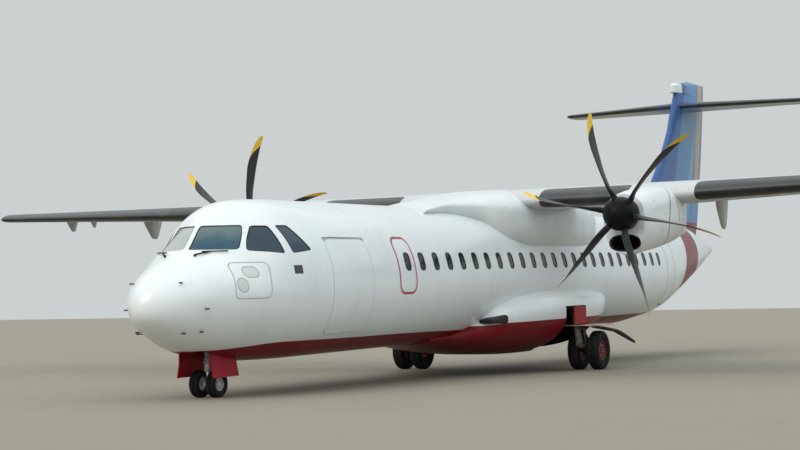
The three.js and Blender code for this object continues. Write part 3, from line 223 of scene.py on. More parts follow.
# A copy on the other side, with its faces turned to point out again.
def mirroredPiece(obj, name):
    mesh = obj.data.copy()
    co = np.zeros(len(mesh.vertices) * 3, np.float32)
    mesh.vertices.foreach_get("co", co)
    co = co.reshape(-1, 3) * np.array((1, -1, 1), np.float32)
    mesh.vertices.foreach_set("co", co.ravel())
    mesh.flip_normals()
    other = bpy.data.objects.new(name, mesh)
    bpy.context.scene.collection.objects.link(other)
    return other


# Rides the piece on its body and hides the nodes that it stands for.
def place(obj, body, slot, *nodes):
    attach(obj, body)
    if nodes:
        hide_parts(*nodes)


# Makes one piece of several closed parts and places it.
def placeParts(name, parts, finish, body, slot, *nodes):
    place(newObject(name, *joined(parts), finish), body, slot, *nodes)


# Places a left piece and its mirrored copy; every name but root gets its side's ending.
def placeBoth(obj, body, slot, *nodes):
    other = mirroredPiece(obj, obj.name.replace("left", "right"))
    for piece, side in ((obj, "_left"), (other, "_right")):
        place(piece, body if body == "root" else body + side, slot, *[node + side for node in nodes])


# A round bar between two row points; bevel rounds off both rims by that much.
def bar(start, end, radius, sides=24, bevel=0.0):
    a, b = np.asarray(start, float), np.asarray(end, float)
    axis = (b - a) / np.linalg.norm(b - a)
    side = np.cross(axis, (0, 0, 1) if abs(axis[2]) < 0.9 else (1, 0, 0))
    side /= np.linalg.norm(side)
    up = np.cross(axis, side)
    stops = [(a, radius), (b, radius)]
    if bevel:
        stops = [
            (a, radius - bevel), (a + axis * bevel, radius), (b - axis * bevel, radius), (b, radius - bevel)
        ]
    turn = ringAngles(sides)
    circle = np.cos(turn)[:, None] * side + np.sin(turn)[:, None] * up
    return loft([centre + circle * r for centre, r in stops])


# A round tube along row points: at each point a circle square to the path's direction there.
def tube(path, radius, sides=12):
    path = np.asarray(path, float)
    along = np.gradient(path, axis=0)
    along /= np.linalg.norm(along, axis=1)[:, None]
    hint = np.array((0, 0, 1.0)) if abs(along[:, 2]).max() < 0.95 else np.array((0.3, 1.0, 0.2))
    side = np.cross(along, hint)
    side /= np.linalg.norm(side, axis=1)[:, None]
    up = np.cross(along, side)
    turn = (ringAngles(sides))[None, :, None]
    radius = np.broadcast_to(radius, (len(path),))[:, None, None]
    return loft(path[:, None] + radius * (np.cos(turn) * side[:, None] + np.sin(turn) * up[:, None]))


# Corners of an upright rectangle, each cut off by the bevel; (across, up) columns.
def easedRing(across, up, bevel):
    (y0, y1), (z0, z1) = across, up
    ring = [(y0, z0), (y1, z0), (y1, z1), (y0, z1)]
    if bevel:
        ring = [
            (y0 + bevel, z0), (y1 - bevel, z0), (y1, z0 + bevel), (y1, z1 - bevel),
            (y1 - bevel, z1), (y0 + bevel, z1), (y0, z1 - bevel), (y0, z0 + bevel),
        ]
    return np.array(ring).T


# Body sections: two half superellipses that meet at the widest height


# across = side + (half + grow) * |cos|^(2/power), up = widest + (rise + grow) * |sin|^(2/power), with
# signs.
def sectionPoint(row, angle, grow=0.0):
    c, s = np.cos(angle), np.sin(angle)
    power = np.where(s >= 0, row["crown"], row["belly"])
    rise = sectionRise(row, s >= 0) + grow
    across = row.get("side", 0.0) + np.sign(c) * (row["half"] + grow) * np.abs(c) ** (2 / power)
    return across, row["widest"] + np.sign(s) * rise * np.abs(s) ** (2 / power)


fuselageLook = {
    "around": 144,
    "noseLength": 3.9,
    "noseFullness": 0.6,
    "tailTaper": 18.1,
    "tailEnd": 0.105,
    "tailPower": 1.536,
    "noseTip": 0.004,
    "radomeStart": 0.0045,
    "radomeRings": 44,
    "skinStops": (0.76, 4.0, 18.0, 25.5),  # radome's end, straight part's ends, tail cone's start
    "skinRings": (84, 90, 64),
    "seam": 0.0003,  # half the gap between neighbouring skins
    "coneEnd": 27.1,
    "coneRings": 22,
    "coneCap": 0.065,  # length of the rounded end
}
roof, keel, middle = airframe["roof"], airframe["keel"], airframe["middle"]
# columns: station, top, bottom, widest, powers of the crown and of the belly
fuselageTable = np.array([
    (0.004, 1.660, 1.660, 1.660, 1.95, 2.2),
    (0.060, 1.860, 1.490, 1.670, 1.95, 2.2),
    (0.180, 2.005, 1.375, 1.690, 1.95, 2.2),
    (0.420, 2.175, 1.228, 1.720, 1.95, 2.15),
    (0.760, 2.345, 1.062, 1.760, 1.9, 2.05),
    (1.168, 2.520, 0.925, 1.800, 2, 2.1),
    (1.515, 2.888, 0.852, 1.830, 1.6, 2.05),
    (1.740, 3.070, 0.815, 1.850, 1.55, 2.1),
    (1.957, 3.205, 0.790, 1.870, 1.8, 2.15),
    (2.373, 3.315, 0.758, 1.895, 2.05, 2.2),
    (2.800, 3.345, 0.745, 1.910, 2.05, 2.25),
    (3.400, roof, keel, middle, 2, 2.3),
    (3.900, roof, keel, middle, 2, 2.3),
    (18.10, roof, keel, middle, 2, 2.3),
    (19.20, 3.352, 0.797, 1.959, 2, 2.25),
    (20.40, 3.345, 0.891, 1.990, 2, 2.2),
    (22.30, 3.310, 1.266, 2.195, 2, 2.05),
    (24.30, 3.210, 1.726, 2.402, 2, 2),
    (25.50, 2.957, 2.019, 2.495, 2, 2),
    (26.60, 2.825, 2.301, 2.609, 2, 2),
    (27.166, 2.681, 2.444, 2.591, 2, 2),
])
# the nose is round, so its rows are joined by the square root of the distance from the tip
noseEase = np.sqrt(fuselageTable[:, 0] - fuselageLook["noseTip"])
fuselageCurves = {
    column: smoothTable(noseEase, fuselageTable[:, index + 1])
    for index, column in enumerate(("top", "bottom", "widest", "crown", "belly"))
}


# Every column at a station; the half width is a full ellipse-like nose, a straight body and a tapered
# tail.
def fuselageRow(station):
    look = fuselageLook
    station = np.asarray(station, float)
    ease = np.sqrt(np.maximum(station - look["noseTip"], 0))
    nose = np.clip((station - look["noseTip"]) / (look["noseLength"] - look["noseTip"]), 0, 1)
    tail = np.clip((station - look["tailTaper"]) / (airframe["length"] - look["tailTaper"]), 0, 1)
    half = airframe["halfWidth"] * (1 - (1 - nose) ** 2) ** look["noseFullness"]
    half += (look["tailEnd"] - airframe["halfWidth"]) * tail ** look["tailPower"]
    return {"half": half, **{column: curve(ease) for column, curve in fuselageCurves.items()}}


# Rings of fuselage skin: one closed section at each station.
def skinBody(stations, grow=0.0, around=fuselageLook["around"]):
    angles = ringAngles(around)
    stations = np.asarray(stations, float)[:, None]
    across, up = sectionPoint(fuselageRow(stations), angles[None, :], grow)
    return toRow(stations, across, up)


# Height from the widest line to the crown, or down to the belly.
def sectionRise(row, upper):
    return np.where(upper, row["top"] - row["widest"], row["widest"] - row["bottom"])


# Half width of the skin at a height, solved from the section's superellipse.
def skinHalf(station, up, grow=0.0):
    row = fuselageRow(station)
    upper = up >= row["widest"]
    rise = np.abs(up - row["widest"]) / (sectionRise(row, upper) + grow)
    power = np.where(upper, row["crown"], row["belly"])
    return (row["half"] + grow) * np.clip(1 - rise**power, 0, 1) ** (1 / power)


# Row point of the skin at a station and height.
def skinSide(station, up, side=1, grow=0.0):
    station, up = np.broadcast_arrays(np.asarray(station, float), np.asarray(up, float))
    return toRow(station, side * skinHalf(station, up, grow), up)


# Row point of the nose skin seen from ahead: the station is found by halving until the point is on
# the section.
def skinAhead(across, up):
    across, up = np.broadcast_arrays(np.asarray(across, float), np.asarray(up, float))
    low, high = np.full(up.shape, 0.3), np.full(up.shape, 3.0)
    for _ in range(36):
        mid = (low + high) / 2
        row = fuselageRow(mid)
        rise = np.abs(up - row["widest"]) / sectionRise(row, up >= row["widest"])
        outside = (np.abs(across) / row["half"]) ** row["crown"] + rise ** row["crown"] > 1
        low, high = np.where(outside, mid, low), np.where(outside, high, mid)
    return toRow((low + high) / 2, across, up)


# Patches: an outline drawn in two numbers (a, b) that a surface function turns into skin points


# Outline of a box about (a, b) with quarter circles at its corners.
def roundedBox(a, b, halfA, halfB, corner, steps=5):
    turn = np.linspace(0, pi / 2, steps + 1)
    points = []
    for k, (sa, sb) in enumerate(((1, 1), (-1, 1), (-1, -1), (1, -1))):
        angle = turn + k * pi / 2
        points.append(np.stack([a + sa * (halfA - corner) + corner * np.cos(angle),
                                b + sb * (halfB - corner) + corner * np.sin(angle)], -1))
    return np.concatenate(points)


# Outline of a convex polygon whose corners are eased by a parabola from radius before to radius
# after.
def roundedCorners(corners, radius, steps=5):
    corners = np.asarray(corners, float)
    points = []
    for before, here, after in zip(np.roll(corners, 1, 0), corners, np.roll(corners, -1, 0)):
        a = here + (before - here) * radius / np.linalg.norm(before - here)
        c = here + (after - here) * radius / np.linalg.norm(after - here)
        t = np.linspace(0, 1, steps + 1)[:, None]
        points.append((1 - t) ** 2 * a + 2 * t * (1 - t) * here + t**2 * c)
    return np.concatenate(points)


# The same closed outline with extra points wherever two are further apart than the step.
def densified(outline, step):
    points = []
    for a, b in zip(outline, np.roll(outline, -1, 0)):
        count = max(1, int(np.ceil(np.linalg.norm(b - a) / step)))
        points.append(a + (b - a) * (np.arange(count) / count)[:, None])
    return np.concatenate(points)


# Every point moved outwards, square to its neighbours' chord.
def grownOutline(outline, grow):
    chord = np.roll(outline, -1, 0) - np.roll(outline, 1, 0)
    normal = np.stack([chord[:, 1], -chord[:, 0]], -1) / np.linalg.norm(chord, axis=1)[:, None]
    out = np.sign((normal * (outline - outline.mean(0))).sum())
    return outline + normal * out * grow


# Points of a surface and its unit normals, from the cross product of two small steps, pointing away
# from the body.
def surfaceFrame(surface, a, b):
    step = 2e-3
    point = surface(a, b)
    normal = np.cross(
        surface(a + step, b) - surface(a - step, b), surface(a, b + step) - surface(a, b - step)
    )
    normal /= np.linalg.norm(normal, axis=-1)[..., None]
    out = point - np.array((0, 0, airframe["middle"])) * (0, 1, 1)
    out[..., 0] = 0
    facing = np.sign((normal * out).sum(-1))[..., None]
    return point, normal * facing


# A closed slab over an outline: skin points moved along their normals to high on top and low below.
# Ring k of the grid is the outline drawn in towards its middle; crown raises the middle of the top.
def patch(surface, outline, high, low, rings=6, crown=0.0):
    share = np.linspace(1, 0, rings + 1)[:-1] if rings > 1 else np.array([1.0])
    centre = outline.mean(0)
    grid = centre + (outline - centre) * share[:, None, None]
    point, normal = surfaceFrame(surface, grid[..., 0], grid[..., 1])
    middlePoint, middleNormal = surfaceFrame(surface, centre[:1], centre[1:])
    m, n = grid.shape[:2]
    raised = (high + crown * (1 - share**2))[:, None, None]
    verts = np.concatenate([
        (point + normal * raised).reshape(-1, 3), middlePoint + middleNormal * (high + crown),
        (point + normal * low).reshape(-1, 3), middlePoint + middleNormal * low,
    ])
    step = np.arange(n)
    faces, half = [], m * n + 1
    for start in (0, half):
        fan = np.stack(
            [start + (m - 1) * n + step, start + (m - 1) * n + (step + 1) % n, np.full(n, start + m * n)],
            -1,
        )
        sheet = [*(gridFaces(m, n) + start).tolist(), *fan.tolist()] if m > 1 else fan.tolist()
        faces += sheet if start == 0 else [f[::-1] for f in sheet]
    wall = np.stack([(step + 1) % n, step, step + half, (step + 1) % n + half], -1)
    return facingOut(verts, faces + wall.tolist())


# A closed band along an outline: a low arch of five points across it, from low up to high and back to
# low.
def rim(surface, outline, inner, outer, high, low, ease=0.35):
    point, normal = surfaceFrame(surface, outline[:, 0], outline[:, 1])
    along = np.roll(point, -1, 0) - np.roll(point, 1, 0)
    side = np.cross(along, normal)
    side /= np.linalg.norm(side, axis=1)[:, None]
    side *= np.sign((side * (point - point.mean(0))).sum())
    width = outer - inner
    profile = [(inner, low), (inner, high - ease * (high - low)), (inner + width * ease, high),
               (outer - width * ease, high), (outer, high - ease * (high - low)), (outer, low)]
    return closedBand(np.stack([point + side * s + normal * h for s, h in profile], 1))


# Lifting surfaces: four-digit sections with a blunt trailing edge, carried along the span

wingLook = {
    "rootStation": 11.14,
    "rootChord": 2.57,
    "rootHeight": 3.49,
    "tipStation": 12.02,
    "tipChord": 1.43,
    "centreEnd": 4.6,
    "tipStart": 13.23,
    "halfSpan": 13.525,
    "tipRise": 0.225,
    "rootRatio": 0.175,
    "tipRatio": 0.135,
    "camber": 0.022,
    "trailingEdge": 0.005,  # half thickness
    "tipCut": 0.33,
    "seat": 0.0003,
}


# Half thickness of a four-digit section as a share of its chord.
def halfThickness(x, ratio):
    return ratio / 0.2 * (0.2969 * np.sqrt(x) - 0.126 * x - 0.3516 * x**2 + 0.2843 * x**3 - 0.1015 * x**4)


# Two parabolas that meet level at the peak.
def meanLine(x, camber, peak=0.4):
    ahead = camber / peak**2 * (2 * peak * x - x * x)
    behind = camber / (1 - peak) ** 2 * (1 - 2 * peak + 2 * peak * x - x * x)
    return np.where(x < peak, ahead, behind)


# Straight to the centre's end, then tapered; the tip's front curves back and its thickness runs out.
def wingSection(across):
    look = wingLook
    across = np.asarray(across, float)
    share = np.clip((across - look["centreEnd"]) / (look["tipStart"] - look["centreEnd"]), 0, 1)
    rise = np.clip((across - look["centreEnd"]) / (look["halfSpan"] - look["centreEnd"]), 0, 1)
    tip = np.clip((across - look["tipStart"]) / (look["halfSpan"] - look["tipStart"]), 0, 1)
    cut = look["tipCut"] * tip**2.1
    closing = quarterClose(tip, 0.9, 0.1, 0.998)
    ratio = look["rootRatio"] + (look["tipRatio"] - look["rootRatio"]) * share
    return {
        "station": look["rootStation"] + (look["tipStation"] - look["rootStation"]) * share + cut,
        "up": look["rootHeight"] + look["tipRise"] * rise,
        "chord": look["rootChord"] + (look["tipChord"] - look["rootChord"]) * share - 1.25 * cut,
        "ratio": ratio * (1 - 0.65 * tip**2.68) * closing,
        "edge": look["trailingEdge"] * closing,
        "camber": look["camber"] + 0 * share,
    }


# The section of the straight centre wing, which both halves share.
def centreSection(across):
    return wingSection(np.minimum(np.abs(across), wingLook["centreEnd"]))


# Section points from the trailing edge over the top to the front and back below, closely set at the
# front; thickness stands up, or across on an upright surface. Also gives the signed chord share of
# every point.
def surfaceRings(section, spans, upright=False, points=64, grow=0.0):
    spans = np.asarray(spans, float)
    rows = {name: np.asarray(value)[:, None] for name, value in section(spans).items()}
    turn = np.concatenate(
        [np.linspace(0, pi, points // 2 + 1), np.linspace(pi, 2 * pi, points // 2 + 1)[1:]]
    )
    x = ((1 + np.cos(turn)) / 2)[None, :]
    sign = np.where(turn <= pi, 1.0, -1.0)[None, :]
    thick = sign * (halfThickness(x, rows["ratio"]) * rows["chord"] + rows["edge"] * x + grow * (x > 0))
    station = rows["station"] + x * rows["chord"] + grow * (x > 0.999) - grow * (x < 0.001)
    mean = meanLine(x, rows["camber"]) * rows["chord"]
    if upright:
        grid = toRow(station, thick, rows["up"] + 0 * x)
    else:
        grid = toRow(station, spans[:, None] + 0 * x, rows["up"] + mean + thick)
    uv = np.stack([0.5 + sign * x * rows["chord"] / 8 + 0 * thick, np.abs(spans)[:, None] / 16 + 0 * x], -1)
    return grid, uv


# The map of a loft's points, with the first and the last ring's first pair for the middles of its
# ends.
def loftMap(uv):
    return np.concatenate([uv.reshape(-1, 2), uv[0, :1], uv[-1, :1]])


# A closed wing-like skin whose UV map holds the distance behind the front edge (u, /8 m, lower side
# below 0.5) and the distance along the span (v, /16 m).
def surfacePiece(name, section, spans, material, upright=False):
    grid, uv = surfaceRings(section, spans, upright, 72)
    return newObject(name, *loft(grid), material, uv=loftMap(uv), sharp=40)


# Outline of a hinged surface's room about its hinge, (ahead, up): a round nose, then everything
# behind it.
def hingeZone(radius, highLip, lowLip, deep=0.42, back=1.5, steps=20):
    angle = np.radians(np.linspace(highLip, -lowLip, steps + 1))
    nose = np.stack([radius * np.cos(angle), radius * np.sin(angle)], -1)
    behind = np.array([(nose[-1, 0], -deep), (-back, -deep), (-back, deep), (nose[0, 0], deep)])
    return np.concatenate([nose, behind])


# Hinge outlines carried from hinge point to hinge point (station, across, up), longer by stretch at
# both ends.
def hingeRegion(hinges, radii, lips, upright=False, stretch=0.0):
    hinges = np.asarray(hinges, float)
    step = (hinges[-1] - hinges[0]) / np.linalg.norm(hinges[-1] - hinges[0]) * stretch
    hinges = np.concatenate([hinges[:1] - step, hinges[1:-1], hinges[-1:] + step])
    rings = []
    for (station, across, up), radius in zip(hinges, radii):
        ahead, rise = hingeZone(radius, *lips).T
        sideways, upwards = (rise, 0) if upright else (0, rise)
        rings.append(toRow(station - ahead, across + sideways, up + upwards))
    return loft(rings)


# Station, across and up of the mean line at a share of the chord.
def wingHinge(across, share):
    row = wingSection(across)
    up = row["up"] + meanLine(share, row["camber"]) * row["chord"]
    return float(row["station"] + share * row["chord"]), across, float(up)


# Half thickness at a share of the chord.
def wingHalf(across, share):
    row = wingSection(across)
    return float(halfThickness(share, row["ratio"]) * row["chord"] + row["edge"] * share)


# Shader wiring


# Adds nodes to one tree; every value is a number, a colour or another node's socket.
class Wires:
    def __init__(self, tree):
        self.tree = tree

    def feed(self, socket, value):
        if isinstance(value, bpy.types.NodeSocket):
            self.tree.links.new(value, socket)
        elif value is not None:
            socket.default_value = value

    def add(self, kind, *values, **settings):
        made = self.tree.nodes.new(kind if kind.startswith("Node") else "ShaderNode" + kind)
        for name, value in settings.items():
            setattr(made, name, value)
        for socket, value in zip(made.inputs, values):
            self.feed(socket, value)
        return made

    def math(self, operation, *values):
        return self.add("Math", *values, operation=operation).outputs[0]

    def largest(self, *values):
        top = values[0]
        for value in values[1:]:
            top = self.math("MAXIMUM", top, value)
        return top

    def times(self, a, b):
        return self.math("MULTIPLY", a, b)

    def timesPlus(self, a, b, c):
        return self.math("MULTIPLY_ADD", a, b, c)

    def plus(self, a, b):
        return self.math("ADD", a, b)

    def minus(self, a, b):
        return self.math("SUBTRACT", a, b)

    def size(self, value):
        return self.math("ABSOLUTE", value)

    def combine(self, x, y, z):
        return self.add("CombineXYZ", x, y, z).outputs[0]

    def parts(self, value):
        return self.add("SeparateXYZ", value).outputs

    # start below low, end above high, smooth between.
    def ramp(self, value, low, high, start=0.0, end=1.0):
        made = self.add("MapRange", value, low, high, start, end, interpolation_type="SMOOTHSTEP")
        return made.outputs[0]

    # 1 on a line of that width, 0 away from it.
    def line(self, distance, width, soft=0.002):
        return self.ramp(self.size(distance), width / 2, width / 2 + soft, 1.0, 0.0)

    def mix(self, share, a, b, blend="MIX"):
        made = self.add("Mix", data_type="RGBA", blend_type=blend)
        for index, value in ((0, share), (6, a), (7, b)):
            self.feed(made.inputs[index], value)
        return made.outputs[2]

    def noise(self, place, scale, detail=4.0, rough=0.55):
        made = self.add("TexNoise", noise_dimensions="3D")
        self.feed(made.inputs["Vector"], place)
        for name, value in (("Scale", scale), ("Detail", detail), ("Roughness", rough)):
            made.inputs[name].default_value = value
        return made.outputs[0]

    def group(self, tree, **values):
        made = self.add("Group", node_tree=tree)
        for name, value in values.items():
            self.feed(made.inputs[name], value)
        return made.outputs


# An empty shader group with its named sockets, and the wires to fill it.
def newGroup(name, inputs, outputs):
    group = bpy.data.node_groups.new(name, "ShaderNodeTree")
    for label, kind, value in inputs:
        socket = group.interface.new_socket(name=label, in_out="INPUT", socket_type="NodeSocket" + kind)
        if value is not None:
            socket.default_value = value
    for label, kind in outputs:
        group.interface.new_socket(name=label, in_out="OUTPUT", socket_type="NodeSocket" + kind)
    wires = Wires(group)
    return group, wires, wires.add("NodeGroupInput").outputs, wires.add("NodeGroupOutput").inputs


# A material with one Principled shader, whose plain values stand on its own sockets, and the object's
# place.
def newMaterial(name, **sockets):
    material = bpy.data.materials.new(name)
    material.use_nodes = True
    tree = material.node_tree
    tree.nodes.clear()
    wires = Wires(tree)
    shader = wires.add("BsdfPrincipled")
    wires.feed(wires.add("OutputMaterial").inputs[0], shader.outputs[0])
    for label, value in sockets.items():
        shader.inputs[label.replace("_", " ")].default_value = value
    return material, wires, shader, wires.add("TexCoord").outputs["Object"]


# Object coordinates turned back by the nose-down attitude: station, across and up, in metres.
def airframePlaceGroup():
    group, w, given, out = newGroup("airframePlace", [("Place", "Vector", None)],
                                    [("Station", "Float"), ("Across", "Float"), ("Up", "Float")])
    shift = (-airframe["gearX"] * turnCos, 0, -airframe["gearX"] * turnSin)
    turned = w.add("Mapping", given["Place"], shift, (0, -airframe["attitude"], 0), (1, 1, 1)).outputs[0]
    x, y, z = w.parts(turned)
    w.feed(out["Station"], w.minus(airframe["gearStation"], x))
    w.feed(out["Across"], y)
    w.feed(out["Up"], z)
    return group


# Dirt: cloudy noise times noise drawn out downwards. Finish: a value that wanders slightly about
# nought.
def weatheringGroup():
    group, w, given, out = newGroup(
        "weathering", [("Place", "Vector", None), ("Amount", "Float", 0.3), ("Along", "Float", 1.0)],
        [("Dirt", "Float"), ("Finish", "Float")],
    )
    x, y, z = w.parts(given["Place"])
    cloud = w.noise(given["Place"], 1.3, 6.0, 0.62)
    drawn = w.combine(w.times(x, w.timesPlus(given["Along"], 2.2, 0.8)), w.times(y, 1.4), w.times(z, 0.7))
    streak = w.noise(drawn, 1.1, 5.0, 0.55)
    dirt = w.ramp(w.times(cloud, streak), 0.2, 0.46)
    w.feed(out["Dirt"], w.times(dirt, given["Amount"]))
    w.feed(out["Finish"], w.minus(w.noise(given["Place"], 5.0, 5.0, 0.6), 0.5))
    return group


# A line along a rounded box: the distance to the box's edge, from the two distances to its straight
# sides.
def plateLineGroup():
    inputs = [
        (name, "Float", value)
        for name, value in (
            ("A", 0.0), ("B", 0.0), ("Middle A", 0.0), ("Middle B", 0.0), ("Half A", 0.1), ("Half B", 0.1),
            ("Corner", 0.03), ("Width", 0.006),
        )
    ]
    group, w, given, out = newGroup("plateLine", inputs, [("Line", "Float"), ("Inside", "Float")])
    gaps = []
    for axis in "AB":
        away = w.size(w.minus(given[axis], given["Middle " + axis]))
        gaps.append(w.plus(w.minus(away, given["Half " + axis]), given["Corner"]))
    outer = [w.math("MAXIMUM", gap, 0.0) for gap in gaps]
    reach = w.math("SQRT", w.plus(w.times(outer[0], outer[0]), w.times(outer[1], outer[1])))
    inner = w.math("MINIMUM", w.math("MAXIMUM", *gaps), 0.0)
    distance = w.minus(w.plus(reach, inner), given["Corner"])
    half = w.times(given["Width"], 0.5)
    edge = w.minus(w.size(distance), half)
    w.feed(out["Line"], w.ramp(edge, 0.0, 0.003, 1.0, 0.0))
    w.feed(out["Inside"], w.ramp(distance, -0.002, 0.002, 1.0, 0.0))
    return group


airframePlace = airframePlaceGroup()
weathering = weatheringGroup()
plateLine = plateLineGroup()


# Both numbers of the piece's own UV map.
def surfaceMap(w):
    return w.parts(w.add("UVMap", uv_map="surface").outputs[0])[:2]


# Colour and roughness, and a bump where a height is given.
def feedShader(w, shader, colour, rough, height=None, strength=0.25, distance=0.002):
    w.feed(shader.inputs["Base Color"], colour)
    w.feed(shader.inputs["Roughness"], rough)
    if height is not None:
        bump = w.add("Bump")
        w.feed(bump.inputs["Height"], height)
        bump.inputs["Strength"].default_value = strength
        bump.inputs["Distance"].default_value = distance
        w.feed(shader.inputs["Normal"], bump.outputs[0])


# Dirt, wandering gloss and dark seams over a colour, fed to the shader.
def finishPaint(w, shader, place, colour, dark=None, rough=0.3, amount=0.3, along=1.0):
    worn = w.group(weathering, Place=place, Amount=amount, Along=along)
    colour = w.mix(worn["Dirt"], colour, paintColours["dirt"])
    rough = w.timesPlus(worn["Finish"], 0.16, w.timesPlus(worn["Dirt"], 0.5, rough))
    height = None
    if dark is not None:
        colour = w.mix(w.times(dark, 0.75), colour, paintColours["seam"])
        height = w.minus(1.0, dark)
    feedShader(w, shader, colour, rough, height, 0.35, 0.003)


paintColours = {
    "white": (0.775, 0.815, 0.83, 1),
    "red": (0.2, 0.006, 0.012, 1),
    "doorRed": (0.36, 0.016, 0.028, 1),
    "wingGrey": (0.56, 0.59, 0.59, 1),
    "navy": (0.04, 0.11, 0.3, 1),
    "blue": (0.055, 0.22, 0.46, 1),
    "sky": (0.11, 0.35, 0.6, 1),
    "ochre": (0.58, 0.33, 0.08, 1),
    "frameRed": (0.42, 0.055, 0.045, 1),
    "panelGrey": (0.62, 0.64, 0.64, 1),
    # painted shade inside the open bays and the vent
    "hollow": (0.018, 0.017, 0.016, 1),
    "boot": (0.012, 0.013, 0.013, 1),
    # painted sky sheen on the boots' upper half, inboard and further out
    "bootTop": (0.055, 0.06, 0.062, 1),
    "bootEdge": (0.085, 0.09, 0.092, 1),
    # painted sky reflection on the starboard windscreen panes
    "paleGlass": (0.4, 0.44, 0.42, 1),
    "dirt": (0.2, 0.19, 0.165, 1),
    "seam": (0.03, 0.032, 0.035, 1),
    "dullRubber": (0.05, 0.055, 0.056, 1),
    "dust": (0.045, 0.042, 0.037, 1),
    "grime": (0.06, 0.052, 0.042, 1),
}
bodyLines = {
    "rings": (2.95, 4.86, 7.52, 10.82, 14.55, 18.02, 21.35, 22.75, 24.3),
    "strips": (1.46, 2.78),
    # station and height of the line over the red underside
    "bodyRed": (
        (0.0, 0.93), (1.1, 0.975), (2.4, 1.052), (5.4, 1.027), (9.3, 0.982), (14.4, 0.985), (19.6, 0.985),
        (22.0, 1.02),
    ),
    "bellyRed": ((7.9, 0.99), (9.0, 1.04), (9.6, 1.078), (12.0, 1.088), (15.3, 1.088)),
    "redStart": 0.74,
    "bandFront": (21.8, 0.55),  # station at the band's reference height, and its run per metre of height
    "bandRear": (23.74, -2.4),  # the rear edge runs back only below the reference height
    "bandHeight": 2.09,
    # middle station, middle height, half length, half height, corner, width, darkness, side (0 for both)
    "plates": (
        (19.995, 2.04, 0.37, 0.865, 0.115, 0.024, 1.0, 1),
        (19.7, 2.075, 0.314, 0.629, 0.094, 0.018, 0.8, -1),
        (3.9, 1.895, 0.64, 0.768, 0.122, 0.008, 0.3, 1),
        (5.725, 2.21, 0.273, 0.483, 0.132, 0.008, 0.5, 0),
    ),
    "hatch": (1.49, 2.027, 0.325, 0.275, 0.08, 0.013, -0.135),  # the last value leans it back upwards
    "hatchPanels": ((1.5, 2.155, 0.14, 0.08, 0.079), (1.285, 1.957, 0.09, 0.107, 0.089)),
    "vent": (2.4, 2.18, 0.098, 0.068, 0.012),
    "exitFrame": (5.775, 2.2175, 0.3, 0.482, 0.17, 0.042),
    # station, across and height limits of the open bays, painted dark inside as shade
    "bays": (
        ((11.65, 13.05), (0.62, 2.3), (0.0, 0.93)),
        ((11.69, 12.62), (1.5, 2.3), (0.89, 1.33)),
        ((1.12, 2.06), (-0.3, 0.3), (0.2, 1.33)),
    ),
}


# Line and inside of a rounded box in two numbers: both middles, both half sizes and the corner come
# from the row.
def plateMask(w, a, b, row, width=0.006):
    sizes = dict(zip(("Middle A", "Middle B", "Half A", "Half B", "Corner"), row))
    return w.group(plateLine, A=a, B=b, Width=width, **sizes)


# Below a given line along the body, and between two edges round the rear.
def redMask(w, station, up, redLine):
    look = bodyLines
    line = redLine[0][1]
    for (s0, z0), (s1, z1) in zip(redLine[:-1], redLine[1:]):
        line = w.plus(w.ramp(station, s0, s1, 0.0, z1 - z0), line)
    below = w.ramp(w.minus(up, line), -0.002, 0.002, 1.0, 0.0)
    lean = w.minus(up, look["bandHeight"])
    front, rear = (
        w.minus(w.minus(station, w.times(height, run)), start)
        for height, (start, run) in (
            (lean, look["bandFront"]), (w.math("MINIMUM", lean, 0.0), look["bandRear"])
        )
    )
    aheadOfRear = w.ramp(rear, -0.003, 0.003, 1.0, 0.0)
    band = w.times(w.ramp(front, -0.003, 0.003), aheadOfRear)
    begun = w.ramp(station, look["redStart"], look["redStart"] + 0.004)
    return w.times(w.largest(w.times(below, aheadOfRear), band), begun)


# 1 inside a box between airframe limits, with its walls counted in: where shade is painted in an open bay.
def bayShadeMask(w, station, across, up, limits):
    mask = None
    for value, (low, high) in zip((station, across, up), limits):
        away = w.size(w.minus(value, (low + high) / 2))
        edge = (high - low) / 2 + 0.004  # past the walls
        inside = w.ramp(away, edge, edge + 0.001, 1.0, 0.0)
        mask = inside if mask is None else w.times(mask, inside)
    return mask
